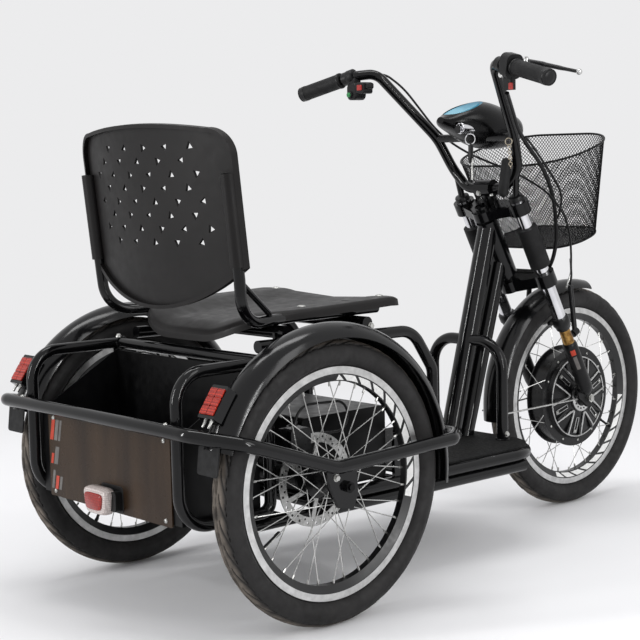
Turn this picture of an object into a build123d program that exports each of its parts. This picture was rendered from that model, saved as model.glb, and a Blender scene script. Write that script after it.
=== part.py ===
"""Electric tricycle: welded tube frame, hub-motor front wheel on a double-crown fork, two spoked rear
wheels outboard of a sheet cargo bin, a moulded seat, and a wire basket.

Millimetres. +X is the rider's left, -Y is forward, +Z is up, and the wheels stand on Z = 0.
"""

from build123d import *
from math import acos, cos, pi, radians, sin, tan
import os

# ---- driving dimensions -------------------------------------------------------------------------
WHEELBASE = 1036.0
REAR_TRACK = 618.0
HEAD_ANGLE = 62.0            # steering axis above the horizontal, degrees
AXLE_LEAD = 43.7             # front axle ahead of the steering axis, square to it

TYRE_RADIUS = 257.0
TYRE_WIDTH = 54.0
RIM_RADIUS = 209.5
RIM_WIDTH = 30.0
RIM_DEPTH = 27.0
SPOKE_DIAMETER = 2.0
SPOKE_COUNT = 36
AXLE_DIAMETER = 12.0
RUNNING_GAP = 0.3

TUBE_DIAMETER = 25.0         # bumper, cage, hoop and seat support tube
POST_DIAMETER = 45.0
DOWN_TUBE_DIAMETER = 36.0
HEAD_TUBE_DIAMETER = 48.0
HEAD_TUBE_LENGTH = 140.0
STEERER_DIAMETER = 30.0

DECK_WIDTH = 400.0
DECK_TUBE_Z = 195.0
BIN_WIDTH = 440.0
BIN_TOP_Z = 475.0
BIN_FLOOR_Z = 208.0
SHEET = 1.5
BATTERY_TOP_Z = 350.0

LEG_SPREAD = 160.0           # between the fork legs' centre lines
LEG_LEAD = 30.0              # fork legs ahead of the steering axis
STANCHION_DIAMETER = 30.0
BAR_DIAMETER = 22.2
GRIP_DIAMETER = 33.0

SEAT_WIDTH = 400.0
SEAT_DEPTH = 390.0
SEAT_Z = 552.0
SHELL_WALL = 5.0

# ---- stations worked out from them --------------------------------------------------------------
REAR_OVERHANG = TYRE_RADIUS + 54.0   # rear axle to the back of the bumper bar
REAR_Y = (WHEELBASE + TYRE_RADIUS - REAR_OVERHANG) / 2
FRONT_Y = REAR_Y - WHEELBASE
AXLE_Z = TYRE_RADIUS
WHEEL_X = REAR_TRACK / 2
TUBE_R = TUBE_DIAMETER / 2
AXLE_R = AXLE_DIAMETER / 2
DECK_X = DECK_WIDTH / 2 - TUBE_R
SIDES = (("left", 1), ("right", -1))

head_rad = radians(HEAD_ANGLE)
AXLE_DOWN = TYRE_RADIUS + 268.0      # front axle below the head origin, along the steering axis
HEAD_Y = FRONT_Y + AXLE_LEAD * sin(head_rad) + AXLE_DOWN * cos(head_rad)
HEAD_Z = AXLE_Z + AXLE_DOWN * sin(head_rad) - AXLE_LEAD * cos(head_rad)
steer = Plane(origin=(0, HEAD_Y, HEAD_Z), x_dir=(1, 0, 0), z_dir=(0, cos(head_rad), sin(head_rad)))


def back(y):
    """Y of a point that far behind the rear axle."""
    return REAR_Y + y


def fore(y):
    """Y of a point that far behind the front axle."""
    return FRONT_Y + y


def from_head(x, y, z):
    """Point given behind and above the head origin, with the handlebar straight ahead."""
    return (x, HEAD_Y + y, HEAD_Z + z)


def bent_bar(points, bends, radius, mode=Mode.ADD):
    """Add (or cut) a round bar along straight runs joined by arcs."""
    with BuildLine() as route:
        if bends:
            FilletPolyline(*points, radius=bends)
        else:
            Line(*points)
    with BuildSketch(Plane(origin=route.line @ 0, z_dir=route.line % 0)) as end:
        Circle(radius)
    sweep(end.sketch, path=route.line, mode=mode)


def rod(start, finish, radius, mode=Mode.ADD):
    """Add (or cut) a straight round bar between two points."""
    axis = Vector(*finish) - Vector(*start)
    with BuildSketch(Plane(origin=start, z_dir=axis)) as end:
        Circle(radius)
    extrude(end.sketch, amount=axis.length, mode=mode)


def block(low, high, mode=Mode.ADD):
    """Add (or cut) a box between two corners."""
    size = [b - a for a, b in zip(low, high)]
    middle = [(a + b) / 2 for a, b in zip(low, high)]
    with Locations(tuple(middle)):
        Box(*size, mode=mode)


def finish_part(part, name):
    """Label one finished piece and write its file."""
    part.label = name
    export_step(part, f"parts/{name}.step")


os.makedirs("parts", exist_ok=True)

# ---- wheels -------------------------------------------------------------------------------------
BEAD_RADIUS = RIM_RADIUS - 6.0
RIM_INNER = RIM_RADIUS - RIM_DEPTH
HUB_FLANGE_X = 30.0
HUB_FLANGE_R = 29.0
MOTOR_RADIUS = 118.0
MOTOR_FLANGE_X = 22.0
SPOKE_SEAT = 0.85            # a spoke's square end short of the rim wall


def wheel_plane(x, y):
    """Plane through a wheel's centre: local X is up, local Y is forward, Z along the axle."""
    return Plane(origin=(x, y, AXLE_Z), x_dir=(0, 0, 1), z_dir=(1, 0, 0))


def make_wheel(name, x, y, flange_r, flange_x, sweep_angle):
    """Tyre, rim and crossed spokes of one wheel; each spoke sweeps back round the hub by an angle."""
    with BuildPart() as tyre:
        with BuildSketch(Plane(origin=(x, y, AXLE_Z), x_dir=(0, 0, 1), z_dir=(0, 1, 0))) as section:
            half = TYRE_WIDTH / 2
            bead = RIM_WIDTH / 2 - 3.5
            with BuildLine():
                Polyline((RIM_RADIUS + 1.0, -bead), (BEAD_RADIUS + 0.3, -bead),
                         (BEAD_RADIUS + 0.3, bead), (RIM_RADIUS + 1.0, bead))
                ThreePointArc((RIM_RADIUS + 1.0, bead), (RIM_RADIUS + 8.0, half - 5.0),
                              (RIM_RADIUS + 20.0, half))
                ThreePointArc((RIM_RADIUS + 20.0, half), (TYRE_RADIUS - 7.0, half * 0.68),
                              (TYRE_RADIUS, 0))
                ThreePointArc((TYRE_RADIUS, 0), (TYRE_RADIUS - 7.0, -half * 0.68),
                              (RIM_RADIUS + 20.0, -half))
                ThreePointArc((RIM_RADIUS + 20.0, -half), (RIM_RADIUS + 8.0, 5.0 - half),
                              (RIM_RADIUS + 1.0, -bead))
            make_face()
        revolve(axis=Axis((x, y, AXLE_Z), (1, 0, 0)))
    finish_part(tyre.part, f"{name}_tyre")

    with BuildPart() as rim:
        with BuildSketch(Plane(origin=(x, y, AXLE_Z), x_dir=(0, 0, 1), z_dir=(0, 1, 0))) as section:
            outer = RIM_WIDTH / 2
            with BuildLine():
                Polyline((RIM_RADIUS, -outer), (RIM_RADIUS, 3 - outer), (BEAD_RADIUS, 3 - outer),
                         (BEAD_RADIUS - 4, 0), (BEAD_RADIUS, outer - 3), (RIM_RADIUS, outer - 3),
                         (RIM_RADIUS, outer), (RIM_RADIUS - 14, outer), (RIM_INNER, 7),
                         (RIM_INNER, -7), (RIM_RADIUS - 14, -outer), (RIM_RADIUS, -outer))
            make_face()
        revolve(axis=Axis((x, y, AXLE_Z), (1, 0, 0)))
    finish_part(rim.part, f"{name}_rim")

    with BuildPart() as spokes:
        step = 2 * pi / SPOKE_COUNT
        hub_r = flange_r + SPOKE_DIAMETER / 2 + RUNNING_GAP
        end_r = RIM_INNER - SPOKE_SEAT
        for index in range(SPOKE_COUNT):
            flange = 1 if index % 2 else -1
            lean = 1 if (index // 2) % 2 else -1
            rim_turn = index * step
            hub_turn = rim_turn + lean * radians(sweep_angle)
            hub_x = x + flange * flange_x + lean * 2.4
            rim_x = x + flange * 3.0 + lean * 0.9
            start = (hub_x, y + hub_r * sin(hub_turn), AXLE_Z + hub_r * cos(hub_turn))
            finish = (rim_x, y + end_r * sin(rim_turn), AXLE_Z + end_r * cos(rim_turn))
            axis = Vector(*finish) - Vector(*start)
            with BuildSketch(Plane(origin=start, z_dir=axis)) as end:
                RegularPolygon(SPOKE_DIAMETER / 2, 6)
            extrude(end.sketch, amount=axis.length)
    finish_part(spokes.part, f"{name}_spokes")


def turned(points, x, y):
    """Revolve an outline, given as (distance along the axle, radius), about a wheel's axle."""
    with BuildSketch(Plane(origin=(x, y, AXLE_Z), x_dir=(1, 0, 0), z_dir=(0, -1, 0))) as section:
        with BuildLine():
            Polyline(*points, close=True)
        make_face()
    revolve(section.sketch, axis=Axis((x, y, AXLE_Z), (1, 0, 0)))


HUB_HALF = 36.0
ROTOR_RADIUS = 85.0
ROTOR_X = 41.0               # rotor plane inboard of the wheel plane

for side, sign in SIDES:
    x = sign * WHEEL_X
    name = f"rear_{side}"
    make_wheel(name, x, REAR_Y, HUB_FLANGE_R + 3, HUB_FLANGE_X, 60)
    bore = AXLE_R + RUNNING_GAP
    with BuildPart() as hub:
        f = HUB_FLANGE_X
        turned([(-HUB_HALF, bore), (-HUB_HALF, 17), (-f - 4, 19), (-f - 1.2, HUB_FLANGE_R - 4),
                (-f - 1.2, HUB_FLANGE_R + 3), (-f + 1.2, HUB_FLANGE_R + 3), (-f + 4, 18), (-10, 15),
                (10, 15), (f - 4, 18), (f - 1.2, HUB_FLANGE_R + 3), (f + 1.2, HUB_FLANGE_R + 3),
                (f + 1.2, HUB_FLANGE_R - 4), (f + 4, 19), (HUB_HALF, 17), (HUB_HALF, bore)], x, REAR_Y)
    finish_part(hub.part, f"{name}_hub")
    with BuildPart() as rotor:
        face_x = x - sign * ROTOR_X
        with BuildSketch(wheel_plane(face_x, REAR_Y)):
            Circle(ROTOR_RADIUS)
            Circle(ROTOR_RADIUS - 17, mode=Mode.SUBTRACT)
            with PolarLocations(0, 6):
                with Locations((ROTOR_RADIUS / 2, 0)):
                    Rectangle(ROTOR_RADIUS - 20, 9, rotation=14)
            Circle(24)
            Circle(AXLE_R + 2.0, mode=Mode.SUBTRACT)
            with PolarLocations(ROTOR_RADIUS - 6, 24):
                Circle(2.6, mode=Mode.SUBTRACT)
            with PolarLocations(ROTOR_RADIUS - 12, 24, start_angle=6):
                Circle(2.2, mode=Mode.SUBTRACT)
        extrude(amount=1.0, both=True)
        turned([(-4 * sign, AXLE_R + 2.0), (-4 * sign, 16), (sign * 4.7, 16),
                (sign * 4.7, AXLE_R + 2.0)], face_x, REAR_Y)
    finish_part(rotor.part, f"{name}_rotor")

make_wheel("front", 0, FRONT_Y, MOTOR_RADIUS, MOTOR_FLANGE_X, 15)
with BuildPart() as hub_motor:
    bore = AXLE_R + RUNNING_GAP
    m = MOTOR_FLANGE_X
    r = MOTOR_RADIUS
    half_outline = [(m + 26, bore), (m + 26, 20), (m + 18, 24), (m + 14, 60), (m + 9, 96),
                    (m + 1.5, 100), (m + 1.5, r), (m - 1.5, r), (m - 1.5, r - 7)]
    outline = half_outline + [(-a, b) for a, b in reversed(half_outline)]
    turned(outline, 0, FRONT_Y)
    with BuildSketch(wheel_plane(m + 16, FRONT_Y)) as ribs:
        with PolarLocations(62, 12):
            Rectangle(58, 6)
    extrude(ribs.sketch, amount=-14)
    with BuildSketch(wheel_plane(-m - 16, FRONT_Y)) as ribs:
        with PolarLocations(62, 12):
            Rectangle(58, 6)
    extrude(ribs.sketch, amount=14)
finish_part(hub_motor.part, "front_hub_motor")

# ---- main frame ---------------------------------------------------------------------------------
POST_Y = fore(TYRE_RADIUS + 148)
DOWN_TUBE_Y = fore(TYRE_RADIUS + 99)
post_foot = Vector(0, POST_Y, DECK_TUBE_Z + 10)
post_top = Vector(*from_head(0, -13, -31))
head_top = steer.from_local_coords((0, 0, -18))
head_bottom = steer.from_local_coords((0, 0, -18 - HEAD_TUBE_LENGTH))
down_top = steer.from_local_coords((0, 0, -112))
with BuildPart() as front_frame:
    rod(post_foot, post_top, POST_DIAMETER / 2)
    rod((0, DOWN_TUBE_Y, DECK_TUBE_Z + 10), down_top, DOWN_TUBE_DIAMETER / 2)
    rod(head_bottom, head_top, HEAD_TUBE_DIAMETER / 2)
    rod(head_bottom, head_top, STEERER_DIAMETER / 2 + RUNNING_GAP, mode=Mode.SUBTRACT)
finish_part(front_frame.part, "front_frame")

HOOP_X = 103.0
HOOP_Y = fore(TYRE_RADIUS + 89)
HOOP_TOP_Z = 424.0
with BuildPart() as guard_hoop:
    foot_z = DECK_TUBE_Z + 15
    bent_bar([(-HOOP_X, HOOP_Y, foot_z), (-HOOP_X, HOOP_Y, HOOP_TOP_Z), (HOOP_X, HOOP_Y, HOOP_TOP_Z),
              (HOOP_X, HOOP_Y, foot_z)], [62, 62], TUBE_R)
    rod(post_foot, post_top, POST_DIAMETER / 2 + 0.05, mode=Mode.SUBTRACT)
    rod((0, DOWN_TUBE_Y, DECK_TUBE_Z + 10), down_top, DOWN_TUBE_DIAMETER / 2 + 0.05, mode=Mode.SUBTRACT)
finish_part(guard_hoop.part, "guard_hoop")

DECK_FRONT = fore(TYRE_RADIUS + 53)
DECK_REAR = back(-TYRE_RADIUS - 43)
FRAME_REAR = back(-60)
with BuildPart() as deck_frame:
    corner = 95.0
    bent_bar([(-DECK_X, FRAME_REAR, DECK_TUBE_Z), (-DECK_X, DECK_FRONT, DECK_TUBE_Z),
              (DECK_X, DECK_FRONT, DECK_TUBE_Z), (DECK_X, FRAME_REAR, DECK_TUBE_Z)],
             [corner, corner], TUBE_R)
    rod((-DECK_X, FRAME_REAR, DECK_TUBE_Z), (DECK_X, FRAME_REAR, DECK_TUBE_Z), TUBE_R)
    for reach, cross_y in ((DECK_X - 13, DOWN_TUBE_Y), (DECK_X, POST_Y), (DECK_X, DECK_REAR),
                           (DECK_X, (POST_Y + DECK_REAR) / 2)):
        rod((-reach, cross_y, DECK_TUBE_Z - 2), (reach, cross_y, DECK_TUBE_Z - 2), TUBE_R - 3)
    rod((-DECK_X, back(-158), DECK_TUBE_Z), (DECK_X, back(-158), DECK_TUBE_Z), TUBE_R)
finish_part(deck_frame.part, "deck_frame")

RAIL_TUBE_R = TUBE_R - 0.5
LOWER_RAIL_Z = DECK_TUBE_Z - TUBE_R - RAIL_TUBE_R - RUNNING_GAP
with BuildPart() as lower_rails:
    for sign in (1, -1):
        rail_x = sign * (DECK_X - 4)
        rod((rail_x, DECK_FRONT + 60, LOWER_RAIL_Z), (rail_x, back(230), LOWER_RAIL_Z), RAIL_TUBE_R)
    for cross_y in (DECK_FRONT + 110, DECK_REAR, back(0), back(200)):
        rod((4 - DECK_X, cross_y, LOWER_RAIL_Z), (DECK_X - 4, cross_y, LOWER_RAIL_Z), RAIL_TUBE_R - 2)
finish_part(lower_rails.part, "lower_rails")

with BuildPart() as deck_plate:
    plate_z = DECK_TUBE_Z + TUBE_R + 0.2
    with BuildSketch(Plane.XY.offset(plate_z)) as outline:
        with Locations((0, (DECK_FRONT + DECK_REAR) / 2)):
            RectangleRounded(2 * DECK_X, DECK_REAR - DECK_FRONT, 90)
        with Locations((0, DECK_REAR - 50)):
            Rectangle(2 * DECK_X, 100)
        for leg in (-HOOP_X, HOOP_X):
            with Locations((leg, HOOP_Y)):
                Circle(TUBE_R + 0.5, mode=Mode.SUBTRACT)
    extrude(amount=4)
    rod(post_foot, post_top, POST_DIAMETER / 2 + 0.5, mode=Mode.SUBTRACT)
    rod((0, DOWN_TUBE_Y, DECK_TUBE_Z + 10), down_top, DOWN_TUBE_DIAMETER / 2 + 0.5, mode=Mode.SUBTRACT)
finish_part(deck_plate.part, "deck_plate")

# ---- rear cage, bin and bumper ------------------------------------------------------------------
CAGE_TUBE_R = TUBE_R - 1.5
CAGE_X = BIN_WIDTH / 2 + CAGE_TUBE_R + 1.0
BUMPER_Y = back(REAR_OVERHANG - TUBE_R)
CAGE_FRONT = back(75)
CAGE_REAR = BUMPER_Y - TUBE_R - CAGE_TUBE_R + 0.2
CAGE_LOW_Z = 206.0
with BuildPart() as cargo_cage:
    for sign in (1, -1):
        x = sign * CAGE_X
        bent_bar([(x, CAGE_FRONT, BIN_TOP_Z), (x, CAGE_REAR, BIN_TOP_Z), (x, CAGE_REAR, CAGE_LOW_Z),
                  (x, CAGE_FRONT, CAGE_LOW_Z), (x, CAGE_FRONT, BIN_TOP_Z - TUBE_R)],
                 [55, 62, 20], CAGE_TUBE_R)
    rod((-CAGE_X, CAGE_FRONT, BIN_TOP_Z), (CAGE_X, CAGE_FRONT, BIN_TOP_Z), CAGE_TUBE_R)
finish_part(cargo_cage.part, "cargo_cage")

BIN_FRONT = CAGE_FRONT + 14
BIN_REAR = back(262)
BIN_X = CAGE_X - CAGE_TUBE_R - 0.2
with BuildPart() as cargo_box:
    with BuildSketch(Plane.YZ.offset(-BIN_X)):
        with BuildLine():
            Polyline((BIN_FRONT, BIN_FLOOR_Z), (BIN_REAR, BIN_FLOOR_Z), (BIN_REAR, 366),
                     (BIN_FRONT, BIN_TOP_Z - 12), close=True)
        make_face()
    extrude(amount=2 * BIN_X)
    with BuildSketch(Plane.YZ.offset(-BIN_X + SHEET)):
        with BuildLine():
            Polyline((BIN_FRONT + SHEET, BIN_FLOOR_Z + SHEET), (BIN_REAR - SHEET, BIN_FLOOR_Z + SHEET),
                     (BIN_REAR - SHEET, BIN_TOP_Z + 50), (BIN_FRONT + SHEET, BIN_TOP_Z + 50), close=True)
        make_face()
    extrude(amount=2 * (BIN_X - SHEET), mode=Mode.SUBTRACT)
finish_part(cargo_box.part, "cargo_box")

PANEL_TOP = 364.0
PANEL_LOW = 203.0
with BuildPart() as rear_panel:
    with BuildSketch(Plane(origin=(0, BIN_REAR + 0.3, (PANEL_TOP + PANEL_LOW) / 2), x_dir=(1, 0, 0),
                           z_dir=(0, 1, 0))):
        RectangleRounded(392, PANEL_TOP - PANEL_LOW, 4)
    extrude(amount=3)
finish_part(rear_panel.part, "rear_panel")

with BuildPart() as tail_light:
    with Locations((0, BIN_REAR + 3.6 + 14, 240)):
        lamp = Box(78, 28, 40)
    fillet(lamp.edges().filter_by(Axis.Y), 8)
finish_part(tail_light.part, "tail_light")

GUARD_X = WHEEL_X + 52.0
GUARD_LOW_Z = 296.0
BUMPER_Z = 382.0
with BuildPart() as side_guard:
    front_y = back(-TYRE_RADIUS - 48)
    route = [(0, BUMPER_Y, BUMPER_Z), (WHEEL_X + 16, BUMPER_Y, BUMPER_Z - 1),
             (GUARD_X, BUMPER_Y - 60.5, BUMPER_Z - 18), (GUARD_X, back(30), GUARD_LOW_Z),
             (GUARD_X, front_y + 43, 306), (WHEEL_X + 21, front_y, 307),
             (DECK_X + 45, front_y - 1, 300), (DECK_X - 6, front_y + 21, GUARD_LOW_Z)]
    bent_bar(route, [34, 50, 60, 22, 40, 20], TUBE_R)
    mirror(about=Plane.YZ)
finish_part(side_guard.part, "side_guard")

with BuildPart() as guard_brackets:
    for sign in (1, -1):
        middle = sign * DECK_X
        block((middle - 4, back(-297), DECK_TUBE_Z + TUBE_R + 0.2),
              (middle + 4, back(-275), GUARD_LOW_Z - TUBE_R - 0.2))
finish_part(guard_brackets.part, "guard_brackets")

PLATE_X = WHEEL_X + 42.0
with BuildPart() as axle_plates:
    for sign in (1, -1):
        with BuildSketch(Plane.YZ.offset(sign * PLATE_X - 3)):
            with BuildLine():
                Polyline((back(-24), 286.8), (back(19), 285.4), (back(30), 285.7), (back(48), 290.1),
                         (back(40), 262), (back(22), 222), (back(-14), 214), (back(-26), 240), close=True)
            make_face()
            with Locations((REAR_Y, AXLE_Z)):
                Circle(AXLE_R + 0.1, mode=Mode.SUBTRACT)
        extrude(amount=6)
finish_part(axle_plates.part, "axle_plates")

INNER_PLATE_X = WHEEL_X - 66.0
with BuildPart() as rear_axle:
    rod((-INNER_PLATE_X, REAR_Y, AXLE_Z), (INNER_PLATE_X, REAR_Y, AXLE_Z), 17)
    for sign in (1, -1):
        with BuildSketch(Plane.YZ.offset(sign * (INNER_PLATE_X + 2.8) - 3.5)) as carrier:
            with Locations((REAR_Y, AXLE_Z)):
                Circle(26)
            with BuildLine():
                Polyline((back(-24), AXLE_Z + 8), (back(14), AXLE_Z + 98), (back(60), AXLE_Z + 98),
                         (back(24), AXLE_Z + 8), close=True)
            make_face()
        extrude(carrier.sketch, amount=7)
    for sign in (1, -1):
        rod((sign * INNER_PLATE_X, REAR_Y, AXLE_Z), (sign * (WHEEL_X + 59), REAR_Y, AXLE_Z), AXLE_R)
        with BuildSketch(Plane(origin=(sign * (PLATE_X + 3.2), REAR_Y, AXLE_Z), z_dir=(sign, 0, 0))) as nut:
            RegularPolygon(10.4, 6)
        extrude(nut.sketch, amount=9)
finish_part(rear_axle.part, "rear_axle")

# ---- fenders and lamps --------------------------------------------------------------------------
FENDER_RADIUS = TYRE_RADIUS + 31.0
FENDER_HALF = 36.0
FENDER_WALL = 2.0
for side, sign in SIDES:
    x = sign * WHEEL_X
    with BuildPart() as fender:
        with BuildSketch(Plane(origin=(x, REAR_Y, AXLE_Z), x_dir=(1, 0, 0), z_dir=(0, -1, 0))) as section:
            with BuildLine():
                ThreePointArc((-FENDER_HALF, FENDER_RADIUS - 26), (0, FENDER_RADIUS),
                              (FENDER_HALF, FENDER_RADIUS - 26))
                Line((FENDER_HALF, FENDER_RADIUS - 26), (FENDER_HALF - 2, FENDER_RADIUS - 27))
                ThreePointArc((FENDER_HALF - 2, FENDER_RADIUS - 27), (0, FENDER_RADIUS - FENDER_WALL),
                              (2 - FENDER_HALF, FENDER_RADIUS - 27))
                Line((2 - FENDER_HALF, FENDER_RADIUS - 27), (-FENDER_HALF, FENDER_RADIUS - 26))
            make_face()
        revolve(section.sketch, axis=Axis((x, REAR_Y, AXLE_Z), (1, 0, 0)), revolution_arc=98)
        revolve(section.sketch, axis=Axis((x, REAR_Y, AXLE_Z), (-1, 0, 0)), revolution_arc=70)
    finish_part(fender.part, f"rear_fender_{side}")

LAMP_TURN = 55.0             # behind the top of the fender, degrees
with BuildPart() as fender_lamps:
    for sign in (1, -1):
        turn = radians(LAMP_TURN)
        out = FENDER_RADIUS + RUNNING_GAP
        seat = Plane(origin=(sign * (WHEEL_X - 4), back(out * sin(turn)), AXLE_Z + out * cos(turn)),
                     x_dir=(1, 0, 0), z_dir=(0, sin(turn), cos(turn)))
        with BuildSketch(seat) as base:
            RectangleRounded(42, 62, 3)
        extrude(base.sketch, amount=20)
finish_part(fender_lamps.part, "fender_lamps")

# ---- seat ---------------------------------------------------------------------------------------
CROSS_R = TUBE_R - 0.2
SEAT_TUBE_R = 10.5
SEAT_TUBE_Z = SEAT_Z - 10.0
CROSS_Z = SEAT_TUBE_Z - SEAT_TUBE_R - CROSS_R - 0.2
RAIL_X = 190.0
RAIL_R = TUBE_R - 1
RAIL_Z = CROSS_Z - 22.0
LEG_Y = back(-385)
with BuildPart() as seat_support:
    for sign in (1, -1):
        x = sign * RAIL_X
        bent_bar([(x, CAGE_FRONT - 14, RAIL_Z), (x, back(-330), RAIL_Z - 6), (x, LEG_Y, 410),
                  (x, LEG_Y, DECK_TUBE_Z + TUBE_R + 5)], [60, 40], RAIL_R)
    for cross_y in (back(7), back(-192)):
        rod((-RAIL_X - 20, cross_y, CROSS_Z), (RAIL_X + 20, cross_y, CROSS_Z), CROSS_R)
        for sign in (1, -1):
            block((sign * RAIL_X - 3, cross_y - 16, RAIL_Z), (sign * RAIL_X + 3, cross_y + 16, CROSS_Z))
finish_part(seat_support.part, "seat_support")

BACK_LEAN = 6.0              # of the backrest, degrees
BACK_HOLLOW = 710.0          # radius of its curve from side to side
BACK_WIDTH = 464.0
BACK_LOW_Z = SEAT_Z + 10
BACK_TUBE_X = BACK_WIDTH / 2 - 14.5
BACK_EYE_Z = 770.0
lean = radians(BACK_LEAN)
back_plane = Plane(origin=(0, back(165), BACK_EYE_Z), x_dir=(-1, 0, 0), z_dir=(0, cos(lean), -sin(lean)))


def back_point(side, up, out=0.0):
    """Point on the backrest: sideways, up its lean, and proud of its curved rear face."""
    return back_plane.from_local_coords((-side, up, out - side * side / (2 * BACK_HOLLOW)))


TUBE_TOP = back_point(BACK_TUBE_X, 34, 3.5)
TUBE_LOW = back_point(BACK_TUBE_X, -150, 3.5)
SEAT_TUBE_X = 172.0
SEAT_BENDS = [240, 58, 200]


def seat_route(side):
    """Seat tube on one side: under the pan, out of its rear corner, and up behind the backrest."""
    points = [(SEAT_TUBE_X, back(-250), SEAT_TUBE_Z), (SEAT_TUBE_X, back(-40), SEAT_TUBE_Z),
              (BACK_TUBE_X - 4, TUBE_LOW.Y - 7, SEAT_TUBE_Z + 1), tuple(TUBE_LOW), tuple(TUBE_TOP)]
    return [(side * x, y, z) for x, y, z in points]


with BuildPart() as seat_frame:
    for side in (1, -1):
        bent_bar(seat_route(side), SEAT_BENDS, SEAT_TUBE_R)
        knee = (side * 197, back(38), SEAT_TUBE_Z + 14)
        rod((side * (BACK_TUBE_X - 6), TUBE_LOW.Y - 3, TUBE_LOW.Z - 2), knee, 5.5)
        rod(knee, (side * 193, back(34), SEAT_TUBE_Z + 3), 5.5)
finish_part(seat_frame.part, "seat_frame")

PAN_BACK = back(66)
PAN_FRONT = PAN_BACK - SEAT_DEPTH + 29
PAN_LIP = 20.0
# stations along the pan: distance behind the front edge, then the height of its rim, of the thigh
# hollows and of the middle above the seat height
pan_stations = ((0, -14, -20, -15), (9, 2, -6, -1), (34, 9, -2, 4), (90, 8, -4, -1),
                (170, 5, -8, -9), (255, 5, -10, -12), (320, 8, -4, -5), (361, 14, 6, 5))
with BuildPart() as seat_pan:
    faces = []
    half = SEAT_WIDTH / 2
    for along, rim_rise, thigh_rise, middle_rise in pan_stations:
        rise = ((-half + 2, rim_rise - 5), (-half + 26, rim_rise), (-half * 0.42, thigh_rise),
                (0, middle_rise), (half * 0.42, thigh_rise), (half - 26, rim_rise), (half - 2, rim_rise - 5))
        with BuildSketch(Plane(origin=(0, PAN_FRONT + along, SEAT_Z), x_dir=(1, 0, 0),
                               z_dir=(0, -1, 0))) as slice_face:
            with BuildLine():
                Spline(*rise)
                Spline(*[(a, b - SHELL_WALL) for a, b in reversed(rise)])
                Line(rise[0], (rise[0][0], rise[0][1] - SHELL_WALL))
                Line(rise[-1], (rise[-1][0], rise[-1][1] - SHELL_WALL))
            make_face()
        faces.append(slice_face.sketch)
    loft(faces)
    with BuildSketch(Plane.XY.offset(SEAT_Z - 60)) as skirt:
        with Locations((0, PAN_FRONT + 180.5)):
            RectangleRounded(2 * half - 4.6, 360.4, 46)
            RectangleRounded(2 * half - 14.6, 350.4, 41, mode=Mode.SUBTRACT)
    extrude(skirt.sketch, amount=60 + 0.5)
    with BuildSketch(Plane.XY.offset(SEAT_Z - 70)) as plan:
        with Locations((0, PAN_FRONT + 180.5)):
            RectangleRounded(2 * half - 4.6, 360.4, 46)
    extrude(plan.sketch, amount=120, mode=Mode.INTERSECT)
    block((-half, PAN_FRONT - 5, SEAT_Z - 71), (half, PAN_BACK + 5, SEAT_Z - PAN_LIP), mode=Mode.SUBTRACT)
    for side in (1, -1):
        bent_bar(seat_route(side)[:-1], SEAT_BENDS[:-1], SEAT_TUBE_R + RUNNING_GAP, mode=Mode.SUBTRACT)
        rod((side * 197, back(38), SEAT_TUBE_Z + 20), (side * 193, back(34), SEAT_TUBE_Z + 1), 6.5,
            mode=Mode.SUBTRACT)
finish_part(seat_pan.part, "seat_pan")

HOLE_PITCH = 62.0            # between the vent holes of one row
HOLE_ROWS = 8
HOLE_ROW_PITCH = 24.6
HOLE_SIZE = 5.6


def back_band(front, rear):
    """Closed face between two curves of the backrest, square to its height."""
    reach = BACK_WIDTH / 2 + 8
    dip = reach * reach / (2 * BACK_HOLLOW)
    with BuildLine() as edge:
        ThreePointArc((-reach, dip - front), (0, -front), (reach, dip - front))
        Line((reach, dip - front), (reach, dip - rear))
        ThreePointArc((reach, dip - rear), (0, -rear), (-reach, dip - rear))
        Line((-reach, dip - rear), (-reach, dip - front))
    make_face(edge.edges())


def back_outline(inset):
    """Backrest's outline: arched top, upright sides, and a bottom edge that hangs in a curve."""
    half = BACK_WIDTH / 2 - inset
    top = 131 - inset
    low = BACK_LOW_Z - BACK_EYE_Z + inset
    corner = 52 - inset
    shoulder = top - 14
    with BuildLine() as edge:
        Line((-half, low + 76), (-half, shoulder - corner))
        ThreePointArc((-half, shoulder - corner), (-half + corner * 0.29, shoulder - corner * 0.29),
                      (-half + corner, shoulder))
        ThreePointArc((-half + corner, shoulder), (0, top), (half - corner, shoulder))
        ThreePointArc((half - corner, shoulder), (half - corner * 0.29, shoulder - corner * 0.29),
                      (half, shoulder - corner))
        Line((half, shoulder - corner), (half, low + 76))
        ThreePointArc((half, low + 76), (0, low), (-half, low + 76))
    make_face(edge.edges())


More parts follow.
